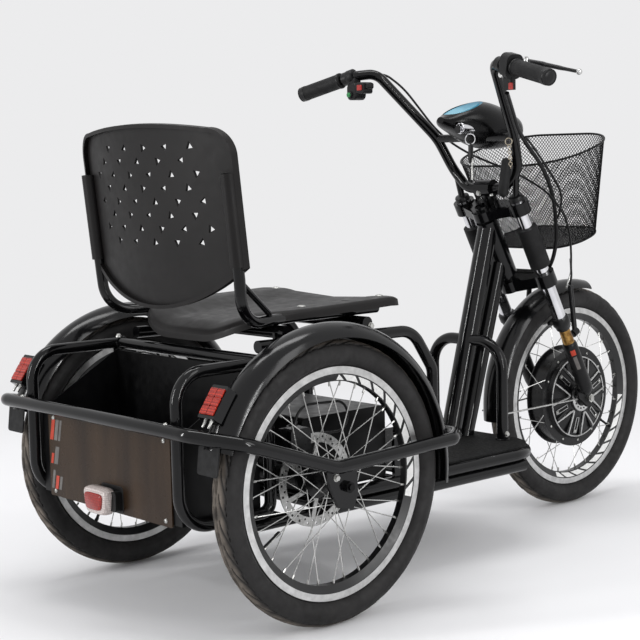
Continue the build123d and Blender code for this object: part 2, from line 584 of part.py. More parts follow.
band_plane = Plane(origin=back_plane.from_local_coords((0, -230, 0)), x_dir=back_plane.x_dir,
                   z_dir=back_plane.y_dir)
with BuildPart() as backrest:
    with BuildSketch(band_plane) as band:
        back_band(-7, 7)
    extrude(band.sketch, amount=400)
    with BuildSketch(back_plane.offset(-90)) as outline:
        back_outline(0)
    extrude(outline.sketch, amount=120, mode=Mode.INTERSECT)
    with BuildSketch(band_plane) as hollow_band:
        back_band(-2, 8)
    with BuildSketch(back_plane.offset(-90)) as hollow_outline:
        back_outline(7)
    hollow = extrude(hollow_band.sketch, amount=400, mode=Mode.PRIVATE) & extrude(
        hollow_outline.sketch, amount=120, mode=Mode.PRIVATE)
    add(hollow, mode=Mode.SUBTRACT)
    for sign in (1, -1):
        sleeve_low = back_point(sign * BACK_TUBE_X, -128, 3.5)
        sleeve_top = back_point(sign * BACK_TUBE_X, 36, 3.5)
        rod(sleeve_low, sleeve_top, 14.3)
        rod(back_point(sign * BACK_TUBE_X, -200, 3.5), back_point(sign * BACK_TUBE_X, 34.2, 3.5),
            SEAT_TUBE_R + 0.2, mode=Mode.SUBTRACT)
    with BuildSketch(back_plane.offset(-60)) as vents:
        for row in range(HOLE_ROWS):
            up = 87 - row * HOLE_ROW_PITCH
            start = (12 if row % 2 == 0 else -16) + 4.7 * row
            for column in range(-3, 4):
                side = start + column * HOLE_PITCH
                if abs(side) < 168:
                    with Locations((side, up)):
                        RegularPolygon(HOLE_SIZE, 3, rotation=(column * 47 + row * 83) % 120)
    extrude(vents.sketch, amount=90, mode=Mode.SUBTRACT)
finish_part(backrest.part, "backrest")

with BuildPart() as battery_box:
    box_low = DECK_TUBE_Z + TUBE_R + RUNNING_GAP
    with Locations((0, back(-158), (box_low + BATTERY_TOP_Z) / 2)):
        case = Box(352, 215, BATTERY_TOP_Z - box_low)
    fillet(case.edges().filter_by(Axis.X), 10)
finish_part(battery_box.part, "battery_box")

CALIPER_TURN = 25.0
CALIPER_X = WHEEL_X - ROTOR_X - 5.0
caliper_y = back((ROTOR_RADIUS + 2) * sin(radians(CALIPER_TURN)))
caliper_z = AXLE_Z + (ROTOR_RADIUS + 2) * cos(radians(CALIPER_TURN))
HOSE_X = CALIPER_X - 7.0
with BuildPart() as brake_calipers:
    for sign in (1, -1):
        with Locations((sign * CALIPER_X, caliper_y, caliper_z)):
            body = Box(26, 46, 40)
        fillet(body.edges().filter_by(Axis.X), 7)
        with Locations((sign * (CALIPER_X + 5), caliper_y, caliper_z - 14)):
            Box(5, 60, 60, mode=Mode.SUBTRACT)
        stop_foot = (sign * HOSE_X, caliper_y + 1, caliper_z + 16)
        rod(stop_foot, (sign * HOSE_X, caliper_y - 4.8, caliper_z + 31.2), 4.5)
finish_part(brake_calipers.part, "brake_calipers")

# ---- fork ---------------------------------------------------------------------------------------
LEG_X = LEG_SPREAD / 2
UPPER_CROWN = 0.0
LOWER_CROWN = -184.0
SEAL = -300.0
BRAKE_PIVOT = -354.0
STANCHION_R = STANCHION_DIAMETER / 2
STEERER_BOSS_R = 25.0


def on_leg(sign, along):
    """Point on a fork leg's centre line, by its height along the steering axis."""
    return steer.from_local_coords((sign * LEG_X, -LEG_LEAD, along))


with BuildPart() as fork_crowns:
    for centre, thick in ((UPPER_CROWN, 22.0), (LOWER_CROWN, 26.0)):
        with BuildSketch(steer.offset(centre - thick / 2)) as plate:
            with BuildLine():
                Polyline((-LEG_X, -LEG_LEAD - 17), (-40, -LEG_LEAD - 13), (40, -LEG_LEAD - 13),
                         (LEG_X, -LEG_LEAD - 17), (LEG_X, -LEG_LEAD + 17), (20, 14), (-20, 14),
                         (-LEG_X, -LEG_LEAD + 17), close=True)
            make_face()
            Circle(STEERER_BOSS_R)
        extrude(plate.sketch, amount=thick)
        with BuildSketch(steer.offset(centre - thick / 2 - 3)) as collars:
            with Locations((-LEG_X, -LEG_LEAD), (LEG_X, -LEG_LEAD)):
                Circle(24)
        extrude(collars.sketch, amount=thick + 6)
    for sign in (1, -1):
        rod(on_leg(sign, LOWER_CROWN - 20), on_leg(sign, UPPER_CROWN + 20), STANCHION_R + 0.1,
            mode=Mode.SUBTRACT)
    rod(steer.from_local_coords((0, 0, LOWER_CROWN)), steer.from_local_coords((0, 0, UPPER_CROWN + 20)),
        STEERER_DIAMETER / 2)
finish_part(fork_crowns.part, "fork_crowns")

with BuildPart() as stanchions:
    for sign in (1, -1):
        rod(on_leg(sign, SEAL - 4), on_leg(sign, UPPER_CROWN + 20), STANCHION_R)
finish_part(stanchions.part, "stanchions")

with BuildPart() as fork_sleeves:
    for sign in (1, -1):
        rod(on_leg(sign, -150), on_leg(sign, -52), 23)
        rod(on_leg(sign, -151), on_leg(sign, -51), STANCHION_R + 0.1, mode=Mode.SUBTRACT)
finish_part(fork_sleeves.part, "fork_sleeves")

DROPOUT_X = 62.0
PIVOT_X = 73.0
with BuildPart() as fork_lowers:
    for sign in (1, -1):
        rod(on_leg(sign, SEAL), on_leg(sign, -AXLE_DOWN + 22), 19)
        rod(on_leg(sign, SEAL - 26), on_leg(sign, SEAL + 16), 22)
        rod(on_leg(sign, SEAL - 4.2), on_leg(sign, SEAL + 17), STANCHION_R + 0.1, mode=Mode.SUBTRACT)
        rod(steer.from_local_coords((sign * PIVOT_X, -LEG_LEAD, BRAKE_PIVOT)),
            steer.from_local_coords((sign * PIVOT_X, -LEG_LEAD - 28, BRAKE_PIVOT)), 6)
        with BuildSketch(Plane(origin=(sign * DROPOUT_X, FRONT_Y, AXLE_Z), x_dir=steer.y_dir,
                               z_dir=steer.x_dir)) as tab:
            with BuildLine():
                Polyline((-18, 10), (-2, 44), (28, 44), (30, 20), (14, -16), (-10, -16), close=True)
            make_face()
            Circle(AXLE_R + 0.1, mode=Mode.SUBTRACT)
        extrude(tab.sketch, amount=4, both=True)
finish_part(fork_lowers.part, "fork_lowers")

with BuildPart() as front_axle:
    rod((-76, FRONT_Y, AXLE_Z), (76, FRONT_Y, AXLE_Z), AXLE_R)
    for sign in (1, -1):
        with BuildSketch(Plane(origin=(sign * 66.2, FRONT_Y, AXLE_Z), z_dir=(sign, 0, 0))) as nut:
            RegularPolygon(10.4, 6)
        extrude(nut.sketch, amount=7)
finish_part(front_axle.part, "front_axle")

# ---- handlebar and controls ---------------------------------------------------------------------
BAR_R = BAR_DIAMETER / 2
CROSSBAR_R = 9.0
CROSSBAR_X = 114.0
CROSSBAR_Y = 27.0            # behind the head origin
CROSSBAR_Z = 168.0           # above the head origin
STEM_CLAMP = from_head(0, -8, 56)
bar_route = [STEM_CLAMP, from_head(56, -8, 56), from_head(96, -6, 97),
             from_head(CROSSBAR_X, CROSSBAR_Y, CROSSBAR_Z), from_head(174, 156, 314),
             from_head(225, 179, 311), from_head(362, 208, 277)]
BAR_BENDS = [42, 66, 150, 34, 110]
with BuildPart() as handlebar:
    bent_bar(bar_route, BAR_BENDS, BAR_R)
    rod(on_leg(1, UPPER_CROWN + 23.2), from_head(89, -7, 92), 7.3)
    mirror(about=Plane.YZ)
    rod(from_head(-CROSSBAR_X, CROSSBAR_Y, CROSSBAR_Z), from_head(CROSSBAR_X, CROSSBAR_Y, CROSSBAR_Z),
        CROSSBAR_R)
finish_part(handlebar.part, "handlebar")

with BuildPart() as stem:
    rod(steer.from_local_coords((0, -33, UPPER_CROWN + 11.3)), STEM_CLAMP, 16)
    rod((-22, STEM_CLAMP[1], STEM_CLAMP[2]), (22, STEM_CLAMP[1], STEM_CLAMP[2]), 19)
    rod((-23, STEM_CLAMP[1], STEM_CLAMP[2]), (23, STEM_CLAMP[1], STEM_CLAMP[2]), BAR_R + 0.1,
        mode=Mode.SUBTRACT)
finish_part(stem.part, "stem")

GRIP_LENGTH = 112.0
grip_dir = (Vector(*bar_route[-1]) - Vector(*bar_route[-2])).normalized()
grip_tip = Vector(*bar_route[-1])


def along_grip(sign, inward):
    """Point on the grip's centre line, measured from the bar's end."""
    point = grip_tip - grip_dir * inward
    return (sign * point.X, point.Y, point.Z)


for side, name in ((1, "left_grip"), (-1, "throttle_grip")):
    with BuildPart() as grip:
        rod(along_grip(side, -4), along_grip(side, GRIP_LENGTH), GRIP_DIAMETER / 2)
        rod(along_grip(side, 0), along_grip(side, GRIP_LENGTH + 1), BAR_R + 0.1, mode=Mode.SUBTRACT)
    finish_part(grip.part, name)


def along_bar(sign, x):
    """Point on the bar's run between its end bend and the grip, by its distance from the middle."""
    inner, outer = Vector(*bar_route[-3]), Vector(*bar_route[-2])
    point = inner + (outer - inner) * ((x - inner.X) / (outer.X - inner.X))
    return (sign * point.X, point.Y, point.Z)


def clear_bar(sign):
    """Cut the handlebar's own route, with its running gap, out of what is clamped on one side."""
    bent_bar([(sign * x, y, z) for x, y, z in bar_route], BAR_BENDS, BAR_R + RUNNING_GAP,
             mode=Mode.SUBTRACT)


with BuildPart() as switch_pod:
    rod(along_bar(1, 199), along_bar(1, 221), 15.5)
    middle = along_bar(1, 210)
    with BuildSketch(Plane(origin=(middle[0], middle[1] - 2, middle[2] - 56))) as case:
        RectangleRounded(40, 32, 7)
    extrude(case.sketch, amount=42)
    clear_bar(1)
finish_part(switch_pod.part, "switch_pod")

with BuildPart() as throttle_housing:
    start = along_grip(-1, GRIP_LENGTH + RUNNING_GAP)
    inboard = (grip_dir.X, -grip_dir.Y, -grip_dir.Z)
    with BuildSketch(Plane(origin=start, x_dir=(0, 0, 1), z_dir=inboard)) as case:
        RectangleRounded(50, 40, 14)
    extrude(case.sketch, amount=25)
    middle = along_grip(-1, GRIP_LENGTH + 13)
    with BuildSketch(Plane(origin=(middle[0] + 5, middle[1] - 1, middle[2] - 48))) as nose:
        RectangleRounded(24, 16, 4)
    extrude(nose.sketch, amount=30)
    clear_bar(-1)
finish_part(throttle_housing.part, "throttle_housing")


def lever_blade(start, finish, ball):
    """Add a round lever blade that tapers towards a ball end."""
    axis = finish - start
    reach = axis.length
    section = Plane(origin=start, x_dir=axis, z_dir=axis.cross(Vector(0, 0, 1)))
    with BuildSketch(section) as outline:
        with BuildLine():
            Polyline((0, 0), (0, 6), (reach - ball * 0.8, ball * 0.6))
            ThreePointArc((reach - ball * 0.8, ball * 0.6), (reach, ball), (reach + ball, 0))
            Line((reach + ball, 0), (0, 0))
        make_face()
    revolve(outline.sketch, axis=Axis(start, axis))


lever_clamps = ((1, along_grip(1, GRIP_LENGTH + 2), along_grip(1, GRIP_LENGTH + 20)),
                (-1, along_bar(-1, 222), along_bar(-1, 205)))
with BuildPart() as brake_levers:
    for sign, outer_end, inner_end in lever_clamps:
        rod(outer_end, inner_end, 16)
        mount = (Vector(*outer_end) + Vector(*inner_end)) * 0.5
        tip = Vector(*along_grip(sign, 6)) + Vector(0, -66, 4)
        rod(mount + Vector(0, -13.5, 0), mount + Vector(0, -52, -1), 8)
        clear_bar(sign)
        lever_blade(mount + Vector(sign * 5, -45, -1), tip, 8)
finish_part(brake_levers.part, "brake_levers")

# sections of the lamp and display housing: behind and above the head origin, half width, half height
pod_sections = ((135, 206, 10, 7), (114, 202, 30, 17), (71, 203, 50, 37), (26, 197.5, 60, 50),
                (-19, 191.5, 60, 50), (-64, 185, 55, 40), (-84, 184, 44, 34))
display_plane = Plane(origin=from_head(0, 62.5, 228), x_dir=(1, 0, 0), z_dir=(0, 0.314, 0.949))
LOCK_R = 12.5
LOCK_X = -30.0
LOCK_Z = 188.0
with BuildPart() as display_pod:
    faces = []
    for behind, above, half_width, half_height in pod_sections:
        with BuildSketch(Plane(origin=from_head(0, behind, above), x_dir=(1, 0, 0),
                               z_dir=(0, -1, 0))) as slice_face:
            Ellipse(half_width, half_height)
        faces.append(slice_face.sketch)
    loft(faces)
    rod(from_head(-CROSSBAR_X, CROSSBAR_Y, CROSSBAR_Z), from_head(CROSSBAR_X, CROSSBAR_Y, CROSSBAR_Z),
        CROSSBAR_R + RUNNING_GAP, mode=Mode.SUBTRACT)
    rod(from_head(LOCK_X, 120, LOCK_Z), from_head(LOCK_X, 58, LOCK_Z), LOCK_R + RUNNING_GAP,
        mode=Mode.SUBTRACT)
    with BuildSketch(display_plane) as pocket:
        Ellipse(35, 54)
    extrude(pocket.sketch, amount=30, mode=Mode.SUBTRACT)
finish_part(display_pod.part, "display_pod")

with BuildPart() as display_glass:
    with BuildSketch(display_plane.offset(0.3)) as lens:
        Ellipse(34.5, 53.5)
    extrude(lens.sketch, amount=2.2)
    with BuildSketch(display_plane.offset(2.5)) as crown:
        Ellipse(28, 46)
    extrude(crown.sketch, amount=1.6, taper=35)
finish_part(display_glass.part, "display_glass")

with BuildPart() as ignition_lock:
    rod(from_head(LOCK_X, 105, LOCK_Z), from_head(LOCK_X, 64, LOCK_Z), LOCK_R)
finish_part(ignition_lock.part, "ignition_lock")

# ---- basket -------------------------------------------------------------------------------------
BASKET_TILT = 16.5
BASKET_HEIGHT = 209.0
BASKET_WALL = 4.0
# width, depth, corner radius and forward shift of the floor and of the rim
basket_floor = (257.0, 151.0, 70.0, 0.0)
basket_rim = (348.0, 246.0, 112.0, -16.0)
tilt = radians(BASKET_TILT)
basket_plane = Plane(origin=from_head(0, -206, -65), x_dir=(1, 0, 0), z_dir=(0, sin(tilt), cos(tilt)))


def basket_outline(shape, inset):
    """Rounded outline of the basket at its floor or its rim."""
    width, depth, corner, shift = shape
    with Locations((0, shift)):
        RectangleRounded(width - 2 * inset, depth - 2 * inset, corner - inset)


with BuildPart() as basket:
    with BuildSketch(basket_plane) as low:
        basket_outline(basket_floor, 0)
    with BuildSketch(basket_plane.offset(BASKET_HEIGHT)) as high:
        basket_outline(basket_rim, 0)
    loft([low.sketch, high.sketch])
    with BuildSketch(basket_plane.offset(BASKET_WALL)) as low_in:
        basket_outline(basket_floor, BASKET_WALL)
    with BuildSketch(basket_plane.offset(BASKET_HEIGHT + 2)) as high_in:
        basket_outline(basket_rim, BASKET_WALL)
    loft([low_in.sketch, high_in.sketch], mode=Mode.SUBTRACT)
finish_part(basket.part, "basket")

BRACKET_R = 5.0
BRACKET_Z = 17.0             # above the head origin
wall_low = basket_plane.from_local_coords((0, basket_floor[3] + basket_floor[1] / 2, 0))
wall_high = basket_plane.from_local_coords((0, basket_rim[3] + basket_rim[1] / 2, BASKET_HEIGHT))
wall_share = (HEAD_Z + BRACKET_Z + BRACKET_R - wall_low.Z) / (wall_high.Z - wall_low.Z)
BRACKET_END = wall_low.Y + (wall_high.Y - wall_low.Y) * wall_share + RUNNING_GAP
with BuildPart() as basket_bracket:
    for side in (1, -1):
        rod(from_head(side * 45, -43.4, BRACKET_Z), (side * 45, BRACKET_END, HEAD_Z + BRACKET_Z), BRACKET_R)
finish_part(basket_bracket.part, "basket_bracket")

# ---- front fender and brake ---------------------------------------------------------------------
FRONT_FENDER_R = TYRE_RADIUS + 20.0
with BuildPart() as front_fender:
    with BuildSketch(Plane(origin=(0, FRONT_Y, AXLE_Z), x_dir=(1, 0, 0), z_dir=(0, -1, 0))) as section:
        with BuildLine():
            half = 33.0
            ThreePointArc((-half, FRONT_FENDER_R - 20), (0, FRONT_FENDER_R), (half, FRONT_FENDER_R - 20))
            Line((half, FRONT_FENDER_R - 20), (half - 2, FRONT_FENDER_R - 21))
            ThreePointArc((half - 2, FRONT_FENDER_R - 21), (0, FRONT_FENDER_R - 2),
                          (2 - half, FRONT_FENDER_R - 21))
            Line((2 - half, FRONT_FENDER_R - 21), (-half, FRONT_FENDER_R - 20))
        make_face()
    revolve(section.sketch, axis=Axis((0, FRONT_Y, AXLE_Z), (1, 0, 0)), revolution_arc=12)
    revolve(section.sketch, axis=Axis((0, FRONT_Y, AXLE_Z), (-1, 0, 0)), revolution_arc=96)
finish_part(front_fender.part, "front_fender")

with BuildPart() as fender_stays:
    for sign in (1, -1):
        rod((sign * 55.7, fore(9), AXLE_Z), (sign * 35.3, fore(TYRE_RADIUS + 1), AXLE_Z - 8), 2)
finish_part(fender_stays.part, "fender_stays")

ARM_LOW = steer.from_local_coords((PIVOT_X, -LEG_LEAD - 33.3, BRAKE_PIVOT))
ARM_TOP = from_head(61, -224, -174)
PAD_Y = fore(71)
PAD_Z = AXLE_Z + 189
with BuildPart() as v_brake:
    for sign in (1, -1):
        rod(steer.from_local_coords((sign * PIVOT_X, -LEG_LEAD - 28.3, BRAKE_PIVOT)),
            steer.from_local_coords((sign * PIVOT_X, -LEG_LEAD - 44, BRAKE_PIVOT)), 9)
        rod((sign * ARM_LOW.X, ARM_LOW.Y - 3, ARM_LOW.Z), (sign * ARM_TOP[0], ARM_TOP[1], ARM_TOP[2]), 6)
        rod((sign * 24, PAD_Y, PAD_Z), (sign * 70, PAD_Y - 2, PAD_Z), 4)
        with BuildSketch(Plane(origin=(sign * 20.5, PAD_Y, PAD_Z), x_dir=(0, 0.936, -0.351),
                               z_dir=(sign, 0, 0))) as pad:
            RectangleRounded(52, 10, 4)
        extrude(pad.sketch, amount=9)
finish_part(v_brake.part, "v_brake")

# ---- control cables and brake hoses -------------------------------------------------------------


def cable(points, radius):
    """Add a cable: straight runs joined by arcs, each a share of the shorter run beside it."""
    stops = [Vector(*point) for point in points]
    runs = [b - a for a, b in zip(stops, stops[1:])]
    bends = []
    for before, after in zip(runs, runs[1:]):
        turn = acos(before.dot(after) / (before.length * after.length))
        bends.append(0.45 * min(before.length, after.length) / tan(turn / 2))
    print("cable", round(radius * 2, 1), "tightest bend", round(min(bends), 1))
    bent_bar(stops, bends, radius)


with BuildPart() as control_cables:
    cable([from_head(-232, 182, 252.5), from_head(-205, 136, 220), from_head(-185, 98, 184),
           from_head(-165, 44, 148), from_head(-150, -9, 116), from_head(-135, -56, 79),
           from_head(-122, -92, 34), from_head(-112, -112, -13), from_head(-106, -122, -63),
           from_head(-92, -127, -104), from_head(-68, -135.5, -134)], 4.5)
    cable([from_head(-181.6, 68, 165.8), from_head(-175.5, 40, 148), from_head(-153.5, -29, 105),
           from_head(-143, -75, 71), from_head(-138, -102, 37), from_head(-130, -107, 7),
           from_head(-121.5, -107, -14)], 2.5)
    cable([from_head(229.7, 137, 308.5), from_head(210, 99, 319), from_head(186, 61, 285),
           from_head(160, 37, 238), from_head(130, 25, 197), from_head(90, 12, 160),
           from_head(44, -6, 131), from_head(-8, -21, 110), from_head(-60, -43, 87),
           from_head(-96, -47, 70), from_head(-120, -66, 49), from_head(-141, -71, 29),
           from_head(-152, -79, 10), from_head(-152, -96, -10), from_head(-150, -110, -36),
           from_head(-144, -124, -68), from_head(-125, -149, -97), from_head(-100, -179, -129),
           from_head(-82, -203, -150), from_head(-61.5, -223, -170.5)], 2.5)
finish_part(control_cables.part, "control_cables")

# rear brake hoses, from each caliper's stop round a loop and into the battery box: sideways from
# HOSE_X, behind the rear axle, above it
hose_route = ((0, 31.9, 110.3), (0, 27.8, 120.5), (0, 18.7, 129.8), (0, 4.9, 135.6), (0, -22, 135.2),
              (0, -48, 133.6), (0, -75, 132.8), (0, -89.6, 122.2), (0, -95.2, 105), (0, -89.6, 87.8),
              (0, -75, 77.2), (-0.5, -50, 77.2), (-4, -27, 79), (-12, -10, 81), (-26, 0, 83), (-45, 2, 84),
              (-65, -5, 84), (-83, -18, 83), (-96, -34, 81), (-99.7, -49.6, 79))
with BuildPart() as brake_hoses:
    for sign in (1, -1):
        cable([(sign * (HOSE_X + aside), back(behind), AXLE_Z + above)
               for aside, behind, above in hose_route], 2.4)
finish_part(brake_hoses.part, "brake_hoses")
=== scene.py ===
"""Electric tricycle: the looks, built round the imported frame.

Metres, same frame as the model: +X is the rider's left, -Y is forward, +Z is up.
"""

import math

import bmesh
import bpy
import numpy as np
from mathutils import Matrix, Vector


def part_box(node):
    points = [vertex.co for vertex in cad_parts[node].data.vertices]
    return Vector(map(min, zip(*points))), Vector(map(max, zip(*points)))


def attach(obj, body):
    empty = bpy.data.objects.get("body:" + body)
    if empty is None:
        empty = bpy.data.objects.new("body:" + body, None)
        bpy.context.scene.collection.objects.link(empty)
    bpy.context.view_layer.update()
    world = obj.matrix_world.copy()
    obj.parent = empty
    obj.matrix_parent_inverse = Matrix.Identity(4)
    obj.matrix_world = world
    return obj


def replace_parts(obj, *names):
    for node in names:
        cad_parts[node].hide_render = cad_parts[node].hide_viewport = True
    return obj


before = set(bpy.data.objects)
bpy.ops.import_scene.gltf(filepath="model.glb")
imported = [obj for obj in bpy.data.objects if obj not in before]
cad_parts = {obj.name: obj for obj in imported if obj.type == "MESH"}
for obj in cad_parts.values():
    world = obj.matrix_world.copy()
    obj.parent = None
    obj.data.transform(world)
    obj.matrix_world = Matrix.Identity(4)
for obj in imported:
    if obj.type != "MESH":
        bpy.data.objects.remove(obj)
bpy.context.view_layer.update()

TAU = 2 * math.pi
MM = 0.001

# ---- places, from the model ---------------------------------------------------------------------


def middle(node):
    """Centre of a node's box."""
    low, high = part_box(node)
    return (np.array(low) + np.array(high)) / 2


FRONT_HUB = middle("front_tyre")
LEFT_HUB = middle("rear_left_tyre")
RIGHT_HUB = middle("rear_right_tyre")
TYRE_R, TYRE_HALF = 0.257, 0.027
RIM_R, RIM_INNER = 0.2095, 0.1825
HEAD = np.array((0.0, -0.25994, 0.70003))
HEAD_LEAN = math.radians(62)
STEER_UP = np.array((0.0, math.cos(HEAD_LEAN), math.sin(HEAD_LEAN)))
STEER_BACK = np.array((0.0, math.sin(HEAD_LEAN), -math.cos(HEAD_LEAN)))
LEG_ASIDE, LEG_AHEAD = 0.08, 0.03        # a fork leg's centre line from the steering axis
GRIP_WAY = np.array((137.0, 29.0, -34.0)) / math.dist((0, 0, 0), (137, 29, -34))
GRIP_TIP = HEAD + np.array((0.362, 0.208, 0.277))


def from_head(x, y, z):
    """Point given in millimetres behind and above the head origin."""
    return HEAD + np.array((x, y, z)) * MM


def on_leg(sign, along, out=0.0, turn=0.0):
    """Point on a fork leg by its height along the steering axis, proud of its centre line by out at an
    angle round the leg that starts at the outer side and goes rearward (millimetres, degrees)."""
    spin = math.radians(turn)
    aside = np.array((sign * math.cos(spin), 0, 0)) + STEER_BACK * math.sin(spin)
    centre = HEAD + np.array((sign * LEG_ASIDE, 0, 0)) - STEER_BACK * LEG_AHEAD + STEER_UP * along * MM
    return centre + aside * out * MM


def along_grip(sign, inward):
    """Point on a grip's centre line, by its distance in from the bar's end."""
    point = GRIP_TIP - GRIP_WAY * inward * MM
    return point * (sign, 1, 1)


def surface_point(node, start, way):
    """Where a ray from start meets a CAD node, and the outward direction there."""
    hit, where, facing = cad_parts[node].ray_cast(Vector(start), Vector(way))[:3]
    if not hit:
        raise SystemExit(f"nothing of {node} lies that way from {start}")
    return np.array(where), np.array(facing)


# ---- surfaces worked out as arrays --------------------------------------------------------------


def unit(ways):
    """Vectors scaled to length 1."""
    ways = np.asarray(ways, float)
    return ways / np.linalg.norm(ways, axis=-1, keepdims=True)


def square_to(way):
    """Two directions square to one, right-handed with it."""
    way = unit(way)
    side = unit(np.cross((0, 0, 1) if abs(way[2]) < 0.9 else (1, 0, 0), way))
    return side, np.cross(way, side)


def arc(first, through, last, count):
    """Points on the circle through three points of a plane."""
    a, b, c = (np.array(p, float) for p in (first, through, last))
    centre = np.linalg.solve(2 * np.array((b - a, c - a)), (b @ b - a @ a, c @ c - a @ a))
    angles = np.unwrap([math.atan2(*(p - centre)[::-1]) for p in (a, b, c)])
    swing = np.linspace(angles[0], angles[2], count)
    return centre + np.linalg.norm(a - centre) * np.column_stack((np.cos(swing), np.sin(swing)))


def ring_round(side, up, count):
    """Unit vectors all round the plane of two directions, in even steps; directions may be arrays."""
    spin = np.arange(count) * TAU / count
    return np.cos(spin)[:, None] * side[..., None, :] + np.sin(spin)[:, None] * up[..., None, :]


def turned(profile, place, way, sides=24):
    """Surface of revolution: rows follow the profile's (distance along, radius), columns go round the
    way through place."""
    profile = np.asarray(profile, float)
    around = ring_round(*square_to(way), sides)
    points = place + profile[:, 0, None, None] * unit(way) + profile[:, 1, None, None] * around
    return points, True, False, True


def bent(points, bends, step=0.006):
    """Path along straight runs joined by arcs; bends are the arcs' radii, one for each inner corner."""
    points = np.asarray(points, float)
    path = [points[0]]
    for before, corner, after, radius in zip(points, points[1:], points[2:], bends):
        back, on = unit(before - corner), unit(after - corner)
        half = math.acos(float(np.clip(-back @ on, -1, 1))) / 2
        reach = radius * math.tan(half)
        centre = corner + unit(back + on) * radius / math.cos(half)
        first, across = unit(corner + back * reach - centre), unit(-back)
        swing = np.linspace(0, 2 * half, max(4, int(2 * half * radius / step)))
        path += list(centre + radius * (np.cos(swing)[:, None] * first + np.sin(swing)[:, None] * across))
    return np.array(path + [points[-1]])


def tube(path, radius, sides=8, closed=False, flat=1.0):
    """Round tube: rows follow the path, columns go round it, square to its tangent. The reference
    direction is the path's own flattest one, so that the columns don't twist; flat thins the tube in
    the path's plane."""
    path = np.asarray(path, float)
    if closed:
        tangent = unit(np.roll(path, -1, axis=0) - np.roll(path, 1, axis=0))
    else:
        tangent = unit(np.gradient(path, axis=0))
    spread = np.linalg.svd(path - path.mean(axis=0), full_matrices=True)[2][-1]
    side = unit(np.cross(spread, tangent))
    around = ring_round(side * flat, np.cross(tangent, side), sides)
    radii = np.broadcast_to(np.asarray(radius, float), len(path))[:, None, None]
    return path[:, None] + radii * around, True, closed, not closed


def hoop(place, way, radius, thick, sides=8, count=32):
    """Closed ring of round wire."""
    return tube(place + radius * ring_round(*square_to(way), count), thick, sides, True)


def rounded_box(place, axes, size, corner, edge=None):
    """Box with rounded upright corners and a small softened edge at both ends. Its rows are four
    outlines up the third axis, inset by edge at the first and last; axes are its three directions."""
    axes = unit(axes)
    edge = min(corner * 0.4, size[2] * 0.3) if edge is None else edge
    quarter, half_step = TAU / 4, TAU / 48          # 24 points round, six to a corner
    swing = np.arange(24) * TAU / 24 + half_step
    corner_of = np.sign(np.column_stack((np.cos(swing), np.sin(swing))))
    turn = (swing % quarter - half_step) / (quarter - 2 * half_step) * quarter
    turn = turn + np.floor(swing / quarter) * quarter
    rounding = np.column_stack((np.cos(turn), np.sin(turn)))
    rows = []
    for height, inset in ((0, edge), (edge, 0), (size[2] - edge, 0), (size[2], edge)):
        radius = max(corner - inset, corner * 0.2)
        flat = corner_of * (np.array(size[:2]) / 2 - inset - radius) + radius * rounding
        rows.append(place + flat @ axes[:2] + height * axes[2])
    return np.array(rows), True, False, True


def plate(outline, place, axes, thick):
    """Flat plate: its outline goes anticlockwise seen from the third axis, rows are its two faces."""
    axes = unit(axes)
    flat = np.asarray(outline, float) @ axes[:2]
    return np.array([place + flat, place + flat + thick * axes[2]]), True, False, True


def screw(place, way, across, height):
    """Hexagon head with a chamfered top and a washer face under it."""
    r = across / 2
    return [turned([(0, r * 1.25), (height * 0.22, r * 1.25)], place, way, 20),
            turned([(height * 0.2, r), (height * 0.85, r), (height, r * 0.84)], place, way, 6)]


def button_head(place, way, across, height):
    """Low domed screw head with a socket pressed into its top."""
    r = across / 2
    swing = np.linspace(0, math.radians(68), 6)
    dome = np.column_stack((height * np.sin(swing) / math.sin(swing[-1]), r * np.cos(swing)))
    socket = [(height, r * 0.34), (height * 0.45, r * 0.3)]
    return [turned(np.vstack((dome, socket)), place, way, 18)]


def shell_mesh(name, shells, sharp=38.0):
    """One mesh of many shells. A shell is its grid of points (rows, columns, xyz), whether its columns
    and its rows close on themselves, and whether flat caps close its first and last row."""
    points, quads, corners, base = [], [], [], 0
    for grid, round_columns, round_rows, capped in shells:
        rows, columns = grid.shape[:2]
        i, j = np.meshgrid(np.arange(rows if round_rows else rows - 1),
                           np.arange(columns if round_columns else columns - 1), indexing="ij")
        a, b = i * columns + j, i * columns + (j + 1) % columns
        c, d = (i + 1) % rows * columns + (j + 1) % columns, (i + 1) % rows * columns + j
        quads.append(base + np.stack((a, b, c, d), axis=-1).reshape(-1, 4))
        if capped:
            corners.append((base + np.arange(columns)[::-1]).tolist())
            corners.append((base + (rows - 1) * columns + np.arange(columns)).tolist())
        points.append(grid.reshape(-1, 3))
        base += rows * columns
    mesh = bpy.data.meshes.new(name)
    mesh.from_pydata(np.concatenate(points).tolist(), [], np.concatenate(quads).tolist() + corners)
    mesh.shade_smooth()
    mesh.set_sharp_from_angle(angle=math.radians(sharp))
    return mesh


def mesh_piece(name, shells, body, finish, sharp=38.0, replaced=()):
    """One object of many shells, riding a body and standing in for the replaced nodes."""
    made = bpy.data.objects.new(name, shell_mesh(name, shells, sharp))
    bpy.context.collection.objects.link(made)
    made.data.materials.append(finish)
    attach(made, body)
    if replaced:
        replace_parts(made, *replaced)
    return made


# ---- materials ----------------------------------------------------------------------------------


def linear(code):
    """sRGB hex code to linear RGBA."""
    parts = [int(code[k:k + 2], 16) / 255 for k in (1, 3, 5)]
    return [c / 12.92 if c <= 0.04045 else ((c + 0.055) / 1.055) ** 2.4 for c in parts] + [1.0]


def node(tree, kind, links=(), **settings):
    """Add one shader node; settings are sockets or properties, links are (socket, source)."""
    made = tree.nodes.new(kind)
    for key, value in settings.items():
        name = key.replace("_", " ")
        if hasattr(made, key):
            setattr(made, key, value)
        elif name in made.inputs:
            made.inputs[name].default_value = value
        else:
            made.inputs[int(key[1:])].default_value = value
    for socket, source in links:
        tree.links.new(source, made.inputs[socket])
    return made


